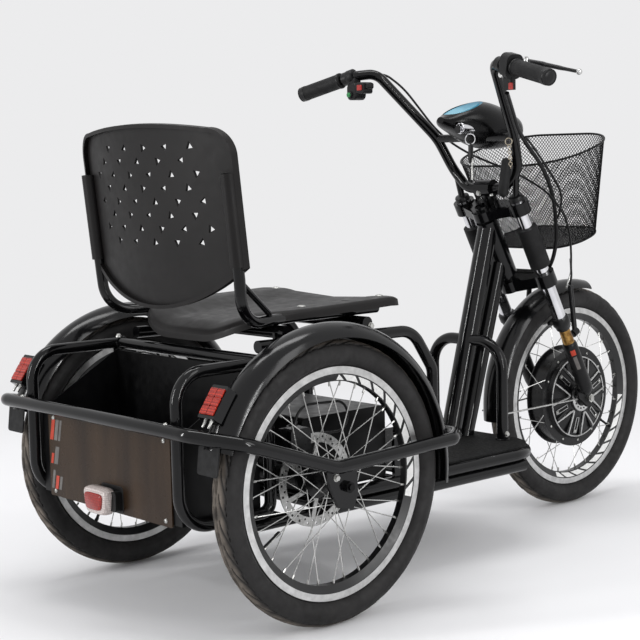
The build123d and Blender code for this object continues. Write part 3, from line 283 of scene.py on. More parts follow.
def blank(name):
    """A new material, its tree without nodes but the coordinates, and those object coordinates."""
    made = bpy.data.materials.new(name)
    made.use_nodes = True
    tree = made.node_tree
    tree.nodes.clear()
    return made, tree, node(tree, "ShaderNodeTexCoord").outputs["Object"]


def closed_with(made, shader):
    """The material with its shader linked to its output."""
    node(made.node_tree, "ShaderNodeOutputMaterial", [("Surface", shader.outputs[0])])
    return made


def noise(tree, where, size_mm, detail=3.0):
    """Noise whose blobs are about size_mm across."""
    return node(tree, "ShaderNodeTexNoise", [("Vector", where)], Scale=1 / (size_mm * MM), Detail=detail,
                Roughness=0.5).outputs["Fac"]


def ramp(tree, source, stops):
    """Colour ramp over (position, hex or grey level) stops."""
    made = node(tree, "ShaderNodeValToRGB", [("Fac", source)])
    marks = made.color_ramp.elements
    while len(marks) < len(stops):
        marks.new(0.5)
    for mark, (at, tone) in zip(marks, stops):
        mark.position = at
        mark.color = linear(tone) if isinstance(tone, str) else (tone, tone, tone, 1)
    return made.outputs["Color"]


def bump(tree, height, depth_mm):
    """Bump normal from a height, in real depth."""
    return node(tree, "ShaderNodeBump", [("Height", height)], Distance=depth_mm * MM).outputs["Normal"]


def math_node(tree, operation, first, second=None):
    """One sum of two sources or numbers."""
    made = node(tree, "ShaderNodeMath", operation=operation)
    for socket, value in ((0, first), (1, second)):
        if isinstance(value, (int, float)):
            made.inputs[socket].default_value = value
        elif value is not None:
            tree.links.new(value, made.inputs[socket])
    return made.outputs[0]


def both(tree, *masks):
    """Product of masks."""
    made = masks[0]
    for mask in masks[1:]:
        made = math_node(tree, "MULTIPLY", made, mask)
    return made


def blended(tree, factor, under, over):
    """Over where factor is 1, under where it is 0."""
    return node(tree, "ShaderNodeMixRGB", [("Fac", factor), ("Color1", under), ("Color2", over)]).outputs[0]


def finished(made, tone, gloss, normal=None, links=(), **sockets):
    """The material closed with one principled shader."""
    links = [("Base Color", tone), ("Roughness", gloss), *links]
    if normal is not None:
        links.append(("Normal", normal))
    return closed_with(made, node(made.node_tree, "ShaderNodeBsdfPrincipled", links, **sockets))


def surface(name, light, dark, blob_mm, rough, rough_blob_mm, metal=0.0, grain=None, shine=0.25):
    """Finished surface: two close tones in blobs, a roughness range in blobs, a grain by its size and
    depth, and the strength of its mirror reflection."""
    made, tree, where = blank(name)
    tone = ramp(tree, noise(tree, where, blob_mm), [(0.35, dark), (0.65, light)])
    gloss = ramp(tree, noise(tree, where, rough_blob_mm, 4.0), [(0.3, rough[0]), (0.7, rough[1])])
    relief = bump(tree, noise(tree, where, grain[0], 2.0), grain[1]) if grain else None
    return finished(made, tone, gloss, relief, Metallic=metal, Specular_IOR_Level=0.5 if metal else shine)


# gloss powder coat over steel: deep black with a slight orange-peel ripple
FRAME_COAT = surface("gloss black powder coat", "#0a0a0b", "#060607", 60, (0.08, 0.14), 25,
                     grain=(3, 0.03), shine=0.3)
# satin black paint on pressed sheet: duller, with faint handling marks
SHEET_COAT = surface("satin black painted sheet", "#0a0a0b", "#050506", 45, (0.3, 0.45), 18,
                     grain=(1.2, 0.02), shine=0.16)
# injection-moulded ABS fender: mirror black, slightly wavy
FENDER_ABS = surface("gloss moulded ABS", "#0c0c0d", "#070708", 80, (0.12, 0.2), 30,
                     grain=(18, 0.12), shine=0.32)
# injection-moulded polypropylene shell: fine spark texture, soft warm grey sheen
SEAT_PP = surface("textured moulded polypropylene", "#131111", "#0e0c0c", 70, (0.4, 0.52), 20,
                  grain=(0.9, 0.06), shine=0.22)
# moulded control housings: fine matt
CONTROL_PA = surface("matt moulded nylon", "#151516", "#0d0d0e", 30, (0.38, 0.52), 10, grain=(0.8, 0.04))
# moulded black plastic trim: brackets, fobs and caps
TRIM_PP = surface("black moulded trim", "#121213", "#0a0a0b", 20, (0.3, 0.42), 9,
                  grain=(0.8, 0.03), shine=0.3)
# natural-rubber grip and cable covers
RUBBER = surface("matt black rubber", "#161617", "#0e0e0f", 25, (0.5, 0.7), 12, grain=(1.5, 0.05))
CABLE_PVC = surface("black PVC cable sheath", "#0a0a0b", "#060607", 30, (0.3, 0.42), 12, grain=(1.5, 0.02))
# metals
CHROME = surface("polished chrome plate", "#e6e6e8", "#d2d2d6", 60, (0.06, 0.14), 20, metal=1.0)
ZINC = surface("bright zinc plate", "#c4c4c1", "#a2a29f", 12, (0.26, 0.4), 8, metal=1.0, grain=(2, 0.02))
STAINLESS = surface("drawn stainless wire", "#cfcfcd", "#b0b0ae", 20, (0.22, 0.34), 8, metal=1.0)
ROTOR_STEEL = surface("ground stainless disc", "#b3b3b2", "#989896", 15, (0.25, 0.4), 6, metal=1.0)
SATIN_ALLOY = surface("machined aluminium edge", "#c9c9c8", "#b2b2b1", 14, (0.24, 0.36), 7, metal=1.0)
CHAIN = surface("worn nickelled chain", "#c8bfae", "#958a78", 4, (0.25, 0.4), 3, metal=1.0)
HUB_PAINT = surface("satin black cast alloy", "#0e0e0f", "#070708", 20, (0.24, 0.36), 12,
                    grain=(1.5, 0.05), shine=0.3)
# stoved enamel accents
RED_ENAMEL = surface("red stoved enamel", "#b8402f", "#a2351f", 20, (0.3, 0.4), 12)
GREY_ENAMEL = surface("grey stoved enamel", "#6c6966", "#5a5755", 20, (0.35, 0.45), 12)
WHITE_PRINT = surface("white screen print", "#dededc", "#cfcfcd", 12, (0.4, 0.5), 9)
RED_BUTTON = surface("red moulded button", "#b5403c", "#9c322f", 8, (0.35, 0.45), 5)
GREEN_BUTTON = surface("green moulded button", "#3f8a55", "#2f7445", 8, (0.35, 0.45), 5)
BASKET_WIRE = surface("black dipped wire", "#0c0c0d", "#070708", 20, (0.4, 0.55), 10, shine=0.15)


def tinted_sheet():
    """Brown-tinted gloss sheet: the tint is uneven, in soft upright streaks."""
    made, tree, where = blank("brown-tinted gloss sheet")
    stretch = node(tree, "ShaderNodeMapping", [("Vector", where)], Scale=(1, 1, 0.15))
    tone = ramp(tree, noise(tree, stretch.outputs[0], 45, 4.0), [(0.3, "#261b12"), (0.7, "#382a1d")])
    gloss = ramp(tree, noise(tree, where, 30, 4.0), [(0.3, 0.22), (0.7, 0.34)])
    return finished(made, tone, gloss, Specular_IOR_Level=0.15)


def deck_mat():
    """Gritty rubber mat: coarse mineral grit on black, with pale worn specks."""
    made, tree, where = blank("gritty rubber deck mat")
    grit = node(tree, "ShaderNodeTexVoronoi", [("Vector", where)], Scale=1 / (3.2 * MM)).outputs["Distance"]
    tone = ramp(tree, grit, [(0.0, "#2c2b2b"), (0.25, "#141414"), (0.7, "#060606")])
    rough = ramp(tree, noise(tree, where, 5), [(0.3, 0.62), (0.7, 0.9)])
    lumps = bump(tree, math_node(tree, "SUBTRACT", 1.0, grit), 0.9)
    return finished(made, tone, rough, lumps, Specular_IOR_Level=0.2)


def tyre_rubber():
    """Vulcanised tyre: dark grey rubber, brownish road dust held in the tread, fine mould bloom."""
    made, tree, where = blank("vulcanised tyre rubber")
    cloud = noise(tree, where, 35, 4.0)
    clean = ramp(tree, cloud, [(0.35, "#191818"), (0.65, "#232222")])
    dusty = ramp(tree, cloud, [(0.3, "#544e47"), (0.7, "#776e65")])
    patchy = ramp(tree, noise(tree, where, 25, 3.0), [(0.3, 0.35), (0.6, 1.0)])
    tread = node(tree, "ShaderNodeAttribute", attribute_name="tread").outputs["Fac"]
    rough = ramp(tree, noise(tree, where, 10), [(0.3, 0.52), (0.7, 0.72)])
    return finished(made, blended(tree, both(tree, tread, patchy), clean, dusty), rough,
                    bump(tree, noise(tree, where, 1.2, 2.0), 0.08), Specular_IOR_Level=0.25)


RIM_TRACK_R = 0.1968                 # the silver brake track starts here
BAR_LOW_R, BAR_HIGH_R, BAR_ASIDE = 0.1845, 0.1945, 0.0078
BAR_COUNT, BAR_SLANT, BAR_SHARE = 9.0, 45.0, 0.78


def rim_material(hub, name, first, last):
    """Rim of one wheel: a machined silver brake track outside a black anodised wall, with plain white
    slanted bars between two angles from the top towards the front (degrees)."""
    made, tree, where = blank(name)

    def op(kind, *sources):
        return math_node(tree, kind, *sources)

    centred = node(tree, "ShaderNodeMapping", [("Vector", where)], Location=(-hub[0], -hub[1], -hub[2]))
    x, y, z = node(tree, "ShaderNodeSeparateXYZ", [("Vector", centred.outputs[0])]).outputs
    flat = node(tree, "ShaderNodeCombineXYZ", [("Y", y), ("Z", z)]).outputs[0]
    radius = node(tree, "ShaderNodeVectorMath", [(0, flat)], operation="LENGTH").outputs["Value"]
    track = op("GREATER_THAN", radius, RIM_TRACK_R)
    turn = op("ADD", op("ARCTAN2", op("MULTIPLY", y, -1.0), z), 2 * TAU)
    past_first = op("MODULO", op("SUBTRACT", turn, math.radians(first)), TAU)
    share = op("DIVIDE", past_first, math.radians(last - first))
    beat = op("FRACT", op("ADD", op("MULTIPLY", share, BAR_COUNT), op("MULTIPLY", radius, BAR_SLANT)))
    bars = both(tree, op("LESS_THAN", share, 1.0), op("LESS_THAN", beat, BAR_SHARE),
                op("GREATER_THAN", radius, BAR_LOW_R), op("LESS_THAN", radius, BAR_HIGH_R),
                op("GREATER_THAN", op("ABSOLUTE", x), BAR_ASIDE))
    black = ramp(tree, noise(tree, where, 20), [(0.3, "#09090a"), (0.7, "#101011")])
    silver = ramp(tree, noise(tree, where, 15), [(0.3, "#b4b4b3"), (0.7, "#d2d2d1")])
    white = ramp(tree, noise(tree, where, 9), [(0.3, "#d8d8d6"), (0.7, "#ececea")])
    gloss = ramp(tree, noise(tree, where, 8), [(0.3, 0.28), (0.7, 0.4)])
    return finished(made, blended(tree, bars, blended(tree, track, black, silver), white), gloss,
                    links=[("Metallic", track)])


def prism_lens(name, light, dark, pitch_mm):
    """Moulded acrylic lens: deep colour over a field of small retroreflecting prisms."""
    made, tree, where = blank(name)
    cells = node(tree, "ShaderNodeTexVoronoi", [("Vector", where)], Scale=1 / (pitch_mm * MM),
                 Randomness=0.25).outputs["Distance"]
    tone = ramp(tree, cells, [(0.1, light), (0.6, dark)])
    gloss = ramp(tree, noise(tree, where, 6), [(0.3, 0.12), (0.7, 0.22)])
    return finished(made, tone, gloss, bump(tree, cells, 0.35), IOR=1.49)


def display_window():
    """Blue-tinted acrylic window over a display: painted light in a smooth wash from deep to pale blue
    along its length, palest at the rear end where the light falls, clouded with a painted reflection of a
    soft sky."""
    made, tree, where = blank("blue-tinted acrylic window")
    low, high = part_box("display_glass")
    y = node(tree, "ShaderNodeSeparateXYZ", [("Vector", where)]).outputs["Y"]
    run = node(tree, "ShaderNodeMapRange", [(0, y)], i1=low[1], i2=high[1], i3=0.0, i4=1.0).outputs[0]
    # painted light and painted reflection: the wash pales towards the rear end where the light falls,
    # clouded like a reflected soft sky
    cloud = math_node(tree, "ADD", run, math_node(tree, "MULTIPLY", noise(tree, where, 22, 4.0), 0.5))
    tone = ramp(tree, cloud, [(0.2, "#124a60"), (0.6, "#2a7790"), (1.0, "#6fa9bd")])
    gloss = ramp(tree, noise(tree, where, 14), [(0.3, 0.08), (0.7, 0.16)])
    return finished(made, tone, gloss, Specular_IOR_Level=0.04)


# lever blade: dark anodised
LEVER_ALLOY = surface("dark anodised lever alloy", "#242425", "#171718", 20, (0.28, 0.4), 10, shine=0.4)
# moulded display housing: gloss, but duller than the fenders
POD_ABS = surface("gloss moulded display housing", "#070708", "#040405", 40, (0.2, 0.3), 20,
                  grain=(9, 0.05), shine=0.2)
# fork lowers: satin black cast alloy, with a gold foil wrapped round the neck
FORK_PAINT = surface("satin black cast fork leg", "#101011", "#09090a", 20, (0.26, 0.38), 12,
                     grain=(1.5, 0.04))
FOIL = surface("worn gold foil", "#b08a4e", "#6a4c2a", 12, (0.28, 0.42), 6, metal=1.0)
TYRE = tyre_rubber()
DECK_MAT = deck_mat()
TINTED = tinted_sheet()
RED_PRISM = prism_lens("red prismatic acrylic", "#cf3a22", "#7a140c", 3.4)
RED_LENS = prism_lens("red tail lens acrylic", "#a8342c", "#7c201c", 4.5)
CLEAR_LENS = prism_lens("clear tail lens acrylic", "#d9cfcb", "#a89d99", 4.0)
BLUE_WINDOW = display_window()

NODE_FINISH = (
    (FRAME_COAT, "front_frame guard_hoop deck_frame lower_rails cargo_cage side_guard guard_brackets "
                 "axle_plates seat_support seat_frame fork_crowns handlebar stem basket_bracket"),
    (SHEET_COAT, "cargo_box rear_axle battery_box"), (DECK_MAT, "deck_plate"), (TINTED, "rear_panel"),
    (FENDER_ABS, "rear_fender_left rear_fender_right fender_lamps front_fender"),
    (HUB_PAINT, "brake_calipers front_hub_motor rear_left_hub rear_right_hub"),
    (CLEAR_LENS, "tail_light"), (SEAT_PP, "seat_pan backrest"), (CABLE_PVC, "brake_hoses control_cables"),
    (CHROME, "stanchions ignition_lock"), (ZINC, "front_axle"), (FORK_PAINT, "fork_lowers"),
    (RUBBER, "fork_sleeves left_grip throttle_grip"),
    (CONTROL_PA, "switch_pod throttle_housing"), (LEVER_ALLOY, "brake_levers"), (POD_ABS, "display_pod"),
    (BLUE_WINDOW, "display_glass"), (BASKET_WIRE, "basket"), (TRIM_PP, "v_brake"),
    (STAINLESS, "fender_stays front_spokes rear_left_spokes rear_right_spokes"),
    (TYRE, "front_tyre rear_left_tyre rear_right_tyre"), (ROTOR_STEEL, "rear_left_rotor rear_right_rotor"),
    (rim_material(FRONT_HUB, "front rim anodising", 96, 197), "front_rim"),
    (rim_material(LEFT_HUB, "rear left rim anodising", 4, 106), "rear_left_rim"),
    (rim_material(RIGHT_HUB, "rear right rim anodising", 4, 106), "rear_right_rim"),
)
for finish, names in NODE_FINISH:
    for name in names.split():
        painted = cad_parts[name].data.materials
        painted.clear()
        painted.append(finish)
bpy.context.view_layer.update()

# ---- tyres --------------------------------------------------------------------------------------
WAVES, SPIN_STEPS = 36, 1152
CUT_WAVES = 1.45                      # how far round one S-shaped cut runs


def tyre_grid(hub):
    """Tyre wall to wall: columns go round the wheel, rows go across, from one bead over the crown to the
    other. Along the arc length a from the crown, grooves are pressed in: a waved slit beside the centre,
    and on each shoulder overlapping S-shaped cuts that widen in the middle, with a short nick outside
    each; the walls carry a fine ring."""
    widest = (RIM_R + 0.020, TYRE_HALF)
    half = np.vstack((arc((RIM_R + 0.001, 0.0115), (RIM_R + 0.008, 0.022), widest, 12)[:-1],
                      arc(widest, (TYRE_R - 0.007, TYRE_HALF * 0.68), (TYRE_R, 0.0), 26)))
    profile = np.vstack((half, (half * (1, -1))[-2::-1]))
    step = np.linalg.norm(np.diff(profile, axis=0), axis=1)
    length = np.concatenate(([0], np.cumsum(step)))
    away = length - length[-1] / 2
    facing = unit(np.gradient(profile, axis=0)[:, ::-1] * (1, -1)) * -1
    spin = np.arange(SPIN_STEPS) * TAU / SPIN_STEPS
    a, t = np.meshgrid(away, spin, indexing="ij")
    away_a, around = np.abs(a), WAVES * t / TAU + np.where(a > 0, 0.5, 0.0)
    groove = 0.8 * np.exp(-(((away_a - 0.0012 - 0.0008 * np.sin(WAVES * t)) / 0.0009) ** 2))
    for lag in (0, 1):
        p = around % 1.0 + lag
        centre = 0.0065 + 0.0075 * (1 - np.cos(np.pi * p / CUT_WAVES))
        width = 0.0007 + 0.0019 * np.sin(np.pi * np.clip(p / CUT_WAVES, 0, 1))
        groove = np.maximum(groove, np.exp(-(((away_a - centre) / width) ** 2)) * (p < CUT_WAVES))
        nick = 0.018 + 0.006 * (p - 0.35)
        groove = np.maximum(groove, np.exp(-(((away_a - nick) / 0.0011) ** 2)) * (p > 0.35) * (p < 0.9))
    rings = 0.00035 * np.exp(-(((away_a - 0.0365) / 0.0008) ** 2))
    lift = rings - 0.0026 * groove
    radius = profile[:, 0, None] + facing[:, 0, None] * lift
    aside = profile[:, 1, None] + facing[:, 1, None] * lift
    points = np.stack((hub[0] + aside, hub[1] + radius * np.sin(t), hub[2] + radius * np.cos(t)), axis=-1)
    return points, np.clip(2.2 - away_a / 0.009, 0, 1) * (1 - groove)


for name, body, hub in (("front", "front_wheel", FRONT_HUB), ("rear_left", "rear_wheel_left", LEFT_HUB),
                        ("rear_right", "rear_wheel_right", RIGHT_HUB)):
    points, dust = tyre_grid(hub)
    inner = hub + (points[[-1, 0]] - hub) * (1, 0.968, 0.968)
    closed = np.concatenate((points, inner))
    made = mesh_piece(f"{name}_tyre_tread", [(closed, True, True, False)], body, TYRE, 50,
                      [f"{name}_tyre"])
    layer = made.data.attributes.new("tread", "FLOAT", "POINT")
    layer.data.foreach_set("value", np.concatenate((dust, dust[:2] * 0)).ravel().astype(np.float32))

# ---- basket -------------------------------------------------------------------------------------
BASKET_TILT = math.radians(16.5)
BASKET_FOOT = from_head(0, -206, -65)
BASKET_AXES = np.array(((1, 0, 0), (0, math.cos(BASKET_TILT), -math.sin(BASKET_TILT)),
                        (0, math.sin(BASKET_TILT), math.cos(BASKET_TILT))))
BASKET_HEIGHT = 0.209
FLOOR_HALF_WIDE, FLOOR_HALF_DEEP, FLOOR_CORNER = 0.1265, 0.0735, 0.068
STRANDS, STRAND_R = 112, 0.00085


def basket_outline(share, round_share, inset=0.0):
    """Point of the basket's wall: share goes up it from floor to rim, round_share goes round its rounded
    rectangle by length. The width, depth, corner radius and shift all grow in a straight line."""
    share, round_share = np.broadcast_arrays(share, round_share % 1.0)
    width, depth, corner, shift = (
        (low + (high - low) * share) * MM - cut for low, high, cut in
        ((257, 348, 2 * inset), (151, 246, 2 * inset), (70, 112, inset), (0, -16, 0)))
    straight_x, straight_y, bend = width - 2 * corner, depth - 2 * corner, corner * TAU / 4
    left = round_share * (2 * straight_x + 2 * straight_y + 4 * bend)
    x, y = straight_x / 2, -depth / 2
    for leg, run in enumerate((straight_y, straight_x, straight_y, straight_x)):
        way = leg * TAU / 4
        part = np.clip(left, 0, bend)
        along, across = corner * np.sin(part / corner), corner * (1 - np.cos(part / corner))
        left = left - part
        step = np.clip(left, 0, run)
        x = x + along * math.cos(way) - (across + step) * math.sin(way)
        y = y + along * math.sin(way) + (across + step) * math.cos(way)
        left = left - step
    flat = np.stack((x, y + shift, share * BASKET_HEIGHT), axis=-1)
    return BASKET_FOOT + flat @ BASKET_AXES


def strands(paths):
    """Thin three-sided wires as one grid each: paths are (wire, step, xyz); columns go round a wire."""
    tangent = unit(np.gradient(paths, axis=1))
    side = unit(np.cross(tangent, (0.3, 0.5, 0.81)))
    around = ring_round(side, np.cross(tangent, side), 3)
    return [(wire, True, False, True) for wire in paths[:, :, None] + STRAND_R * around]


rise = np.linspace(0.004, 0.996, 22)[None, :]
start = (np.arange(STRANDS) / STRANDS)[:, None]
lean = 0.215
wall = []
for way, inset in ((1, 0.0016), (-1, 0.0022)):
    wall += strands(basket_outline(rise, start + way * lean * rise, inset))
reach = np.linspace(-0.2, 0.2, 161)
floor_wires = []
for slope in (1, -1):
    for offset in np.linspace(-0.19, 0.19, 48):
        beyond_x = np.maximum(np.abs(reach) - FLOOR_HALF_WIDE + FLOOR_CORNER, 0)
        beyond_y = np.maximum(np.abs(slope * reach + offset) - FLOOR_HALF_DEEP + FLOOR_CORNER, 0)
        inside = np.flatnonzero(np.hypot(beyond_x, beyond_y) < FLOOR_CORNER)
        if len(inside) > 4:
            ends = np.linspace(reach[inside[0]], reach[inside[-1]], 6)
            layer = np.full(6, 0.0016 if slope > 0 else 0.0026)
            flat = np.column_stack((ends, slope * ends + offset, layer))
            floor_wires.append(BASKET_FOOT + flat @ BASKET_AXES)
mesh_piece("basket_mesh", wall + strands(np.array(floor_wires)), "steering", BASKET_WIRE,
           80, ["basket"])
loop = (np.arange(120) / 120)[None, :]
frame_wires = [tube(basket_outline(share, loop, 0.0018)[0], thick, 8, True)
               for share, thick in ((0.992, 0.0026), (0.012, 0.0022))]
mesh_piece("basket_rims", frame_wires, "steering", BASKET_WIRE)

# ---- wheels' small parts ------------------------------------------------------------------------


def spoke_nipples(hub):
    """Nipples at the spokes' rim ends, leaning to either side in turn."""
    shells = []
    for index in range(36):
        turn = index * TAU / 36
        out = np.array((0, math.sin(turn), math.cos(turn)))
        place = hub + out * (RIM_INNER - 0.009) + (0.00345 if index % 2 else -0.00345, 0, 0)
        shells.append(turned([(0, 0.0016), (0.0015, 0.0021), (0.0088, 0.0021)], place, out, 6))
    return shells


def valve(hub, turn):
    """Valve stem with its cap, pointing in from the rim."""
    out = np.array((0, math.sin(turn), math.cos(turn)))
    return turned([(0, 0.0035), (0.004, 0.0034), (0.006, 0.0028), (0.034, 0.0028), (0.034, 0.0036),
                   (0.044, 0.0036), (0.046, 0.002)], hub + out * (RIM_INNER + 0.0005), -out, 12)


for name, body, hub, turn in (("front", "front_wheel", FRONT_HUB, -2.2),
                              ("rear_left", "rear_wheel_left", LEFT_HUB, 2.5),
                              ("rear_right", "rear_wheel_right", RIGHT_HUB, 2.0)):
    mesh_piece(f"{name}_spoke_nipples", spoke_nipples(hub), body, ZINC)
    mesh_piece(f"{name}_valve", [valve(hub, turn + TAU / 72)], body, RUBBER)

# hub motor covers: machined silver edges on a black dish, a toothed ring round the axle, studs
SPIN_OFFSET = 0.35
COVER_RIM_R, COVER_RIM_OUT, ARM_FOOT_R = 0.094, 0.0325, 0.040


def cover_edges(sign):
    """Machined edges of one cover: a rim line, a toothed ring, and six window frames whose arms run
    from the ring to the rim line."""
    way = np.array((sign, 0.0, 0.0))
    silver, dark = [], []

    def spot(turn, radius, out):
        return FRONT_HUB + np.array((sign * out, radius * math.sin(turn), radius * math.cos(turn)))

    def cover_height(radius):
        return np.interp(radius, (0.024, 0.060, 0.096, 0.100), (0.0415, 0.0375, 0.0325, 0.0245)) + 0.0006

    rim_line = [spot(turn, COVER_RIM_R, COVER_RIM_OUT) for turn in np.arange(96) * TAU / 96]
    silver.append(tube(rim_line, 0.0018, 8, True))
    silver.append(turned([(0.040, 0.0335), (0.0446, 0.0335), (0.0456, 0.0322), (0.0456, 0.0190),
                          (0.0436, 0.0175)], FRONT_HUB, way, 48))
    for index in range(15):
        dark.append(turned([(0, 0.0023), (0.0007, 0.0023)], spot(index * TAU / 15, 0.0265, 0.0454), way,
                           10))
    for turn in SPIN_OFFSET + np.arange(6) * TAU / 6:
        bend = 0.5 * (np.linspace(-1, 1, 31) ** 2 + 0.04) ** 0.5
        climb = (bend - bend.min()) / (bend.max() - bend.min())
        radii = ARM_FOOT_R + (COVER_RIM_R - 0.001 - ARM_FOOT_R) * climb
        angles = turn + 0.33 * np.linspace(-1, 1, 31) * 0.0935 / (radii + 0.018)
        silver.append(tube([spot(a, r, cover_height(r)) for a, r in zip(angles, radii)], 0.0025, 8))
        slot = np.array([spot(turn + TAU / 12 + a, r, cover_height(r)) for a, r in
                         ((-0.052, 0.086), (-0.085, 0.050), (0.085, 0.050), (0.052, 0.086))])
        slot_path = [np.linspace(a, b, 6)[:-1] for a, b in zip(slot, np.roll(slot, -1, axis=0))]
        silver.append(tube(np.concatenate(slot_path), 0.0009, 6, True))
    studs = []
    for count, radius, out, across, height in ((12, 0.1065, 0.0232, 0.0065, 0.0026),
                                               (6, 0.082, cover_height(0.082) - 0.0004, 0.0075, 0.003)):
        for turn in SPIN_OFFSET + (np.arange(count) + 0.5) * TAU / count:
            studs += button_head(spot(turn, radius, out), way, across, height)
    return silver, dark, studs


for side, sign in (("left", 1), ("right", -1)):
    silver, dark, studs = cover_edges(sign)
    mesh_piece(f"motor_cover_edges_{side}", silver, "front_wheel", SATIN_ALLOY)
    mesh_piece(f"motor_ring_holes_{side}", dark, "front_wheel", HUB_PAINT)
    mesh_piece(f"motor_studs_{side}", studs, "front_wheel", ZINC)

# ---- rear lamps, panel and bin ------------------------------------------------------------------
LAMP_TURN = math.radians(55)
LAMP_OUT = np.array((0, math.sin(LAMP_TURN), math.cos(LAMP_TURN)))
LAMP_DOWN = np.array((0, math.cos(LAMP_TURN), -math.sin(LAMP_TURN)))
LAMP_AXES = ((-1, 0, 0), -LAMP_DOWN, LAMP_OUT)
UPRIGHT = ((-1, 0, 0), (0, 0, 1), (0, 1, 0))            # a plate or box that faces straight back
cells, lamp_studs = [], []
for sign, hub in ((1, LEFT_HUB), (-1, RIGHT_HUB)):
    face = hub + (-sign * 0.004, 0, 0) + LAMP_OUT * 0.3083
    for aside in (-0.0094, 0.0094):
        for down in (-0.0165, 0.0, 0.0165):
            cells.append(rounded_box(face + (aside, 0, 0) + LAMP_DOWN * down, LAMP_AXES,
                                     (0.0182, 0.0160, 0.0030), 0.002, 0.0007))
    for aside in (-0.010, 0.006):
        foot = hub + (-sign * 0.004 + aside, 0, 0) + LAMP_OUT * 0.300 + LAMP_DOWN * 0.0312
        lamp_studs.append(turned([(0, 0.0034), (0.003, 0.0034), (0.003, 0.0024), (0.013, 0.0024),
                                  (0.014, 0.0018)], foot, LAMP_DOWN, 12))
mesh_piece("reflector_cells", cells, "frame", RED_PRISM)
mesh_piece("reflector_studs", lamp_studs, "frame", ZINC)

LIGHT = np.array((0.004, 0.7850, 0.2245))


def light_shell(width, low_width, height, grow, depths, foot_y):
    """Rounded trapezoid with a bulged face: its outline is a superellipse whose width shrinks downward,
    rows follow the depths behind foot_y, each with its own scale."""
    swing = np.arange(40) * TAU / 40
    x, z = (np.sign(f(swing)) * np.abs(f(swing)) ** 0.42 for f in (np.cos, np.sin))
    half = (width + (low_width - width) * (1 - z) / 2) / 2
    rows = [LIGHT + np.column_stack((-x * half * scale, np.full(40, foot_y + depth),
                                     z * height / 2 * scale)) for depth, scale in zip(depths, grow)]
    return np.array(rows), True, False, True


clear_lens = light_shell(0.082, 0.066, 0.050, (0.9, 1.0, 1.0, 0.94, 0.84),
                         (0, 0.003, 0.012, 0.019, 0.0215), -0.022)
red_lens = light_shell(0.058, 0.046, 0.031, (1.0, 1.0, 0.95, 0.85), (0, 0.006, 0.0075, 0.0085), -0.004)
mesh_piece("tail_light_clear", [clear_lens], "frame", CLEAR_LENS, 50, ["tail_light"])
mesh_piece("tail_light_red", [red_lens], "frame", RED_LENS, 50)
mesh_piece("tail_light_bracket",
           [rounded_box(LIGHT + (-0.018, -0.0305, 0.004), UPRIGHT, (0.070, 0.050, 0.0030), 0.008, 0.0006),
            rounded_box(LIGHT + (-0.040, -0.030, 0.002), UPRIGHT, (0.020, 0.036, 0.017), 0.005, 0.001),
            light_shell(0.066, 0.055, 0.044, (1.0, 1.0), (0, 0.008), -0.0295)],
           "frame", TRIM_PP)

panel_low, panel_high = (np.array(corner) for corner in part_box("rear_panel"))


def slanted(left, low, width, height, slope):
    """Slanted four-sided accent on the rear panel, from its left edge (millimetres)."""
    x, z = panel_high[0] - left * MM, panel_low[2] + low * MM
    outline = np.array(((0, 0), (width, 0), (width + slope, height), (slope, height))) * MM
    return plate(outline, np.array((x, panel_high[1] - 0.00002, z)), UPRIGHT, 0.0004)


mesh_piece("panel_accents_red", [slanted(4, 108, 11, 40, 9), slanted(16, 14, 10, 26, 6),
                                 slanted(4, 62, 8, 20, 5)], "frame", RED_ENAMEL)
mesh_piece("panel_accents_grey", [slanted(18, 108, 11, 40, 9), slanted(32, 108, 7, 40, 9),
                                  slanted(15, 62, 13, 34, 8), slanted(30, 14, 8, 26, 6),
                                  slanted(4, 14, 8, 36, 8)], "frame", GREY_ENAMEL)
panel_bolts = []
for x in (-0.178, 0.178):
    for z in (panel_low[2] + 0.010, panel_high[2] - 0.010):
        panel_bolts += button_head(np.array((x, panel_high[1], z)), (0, 1, 0), 0.009, 0.003)
mesh_piece("panel_screws", panel_bolts, "frame", ZINC)

# ---- bolts and beads on the frame ---------------------------------------------------------------
# bolt heads on both sides: CAD node, where a ray starts on the left, size across, height
DOMED_HEADS = (("cargo_cage", 0.232, 0.566, 0.600, 0.012, 0.007),
               ("side_guard", 0.232, 0.789, 0.500, 0.008, 0.003))
HEXAGON_HEADS = (("axle_plates", 0.500, 0.516, 0.276, 0.011, 0.006),
                 ("guard_brackets", 0.400, 0.205, 0.245, 0.011, 0.006),
                 ("guard_hoop", 0.300, -0.199, 0.225, 0.010, 0.005),
                 ("rear_axle", 0.262, 0.500, 0.330, 0.009, 0.005),
                 ("seat_support", 0.300, 0.440, 0.501, 0.011, 0.006),
                 ("seat_support", 0.300, 0.489, 0.513, 0.011, 0.006),
                 ("seat_support", 0.300, 0.291, 0.513, 0.011, 0.006))
frame_bolts = []
for heads, make, inward, down in ((DOMED_HEADS, button_head, 0, -1), (HEXAGON_HEADS, screw, -1, 0)):
    for name, x, y, z, across, height in heads:
        for sign in (-1, 1):
            where, facing = surface_point(name, (sign * x, y, z), (sign * inward, 0, down))
            frame_bolts += make(where - facing * 0.0006, facing, across, height)
AXLE_END = np.array((0.3543, 0.491, 0.257))             # the rear axle's left end: its nut and its stub
frame_bolts += screw(AXLE_END, (1, 0, 0), 0.024, 0.011)
frame_bolts.append(turned([(0, 0.0088), (0.0150, 0.0088), (0.0165, 0.0070)], AXLE_END, (1, 0, 0), 20))
mesh_piece("frame_bolts", frame_bolts, "frame", ZINC)
RAIL_X, RAIL_Z = 0.1835, 0.1702
rails = [tube([(x, y, RAIL_Z) for y in (-0.175, 0.20, 0.615)], 0.012, 18) for x in (-RAIL_X, RAIL_X)]
rails += [tube([(-RAIL_X, y, RAIL_Z), (0, y, RAIL_Z), (RAIL_X, y, RAIL_Z)], 0.010, 16)
          for y in (-0.125, 0.225, 0.491, 0.595)]
mesh_piece("rail_tubes", rails, "frame", FRAME_COAT, 38, ["lower_rails"])
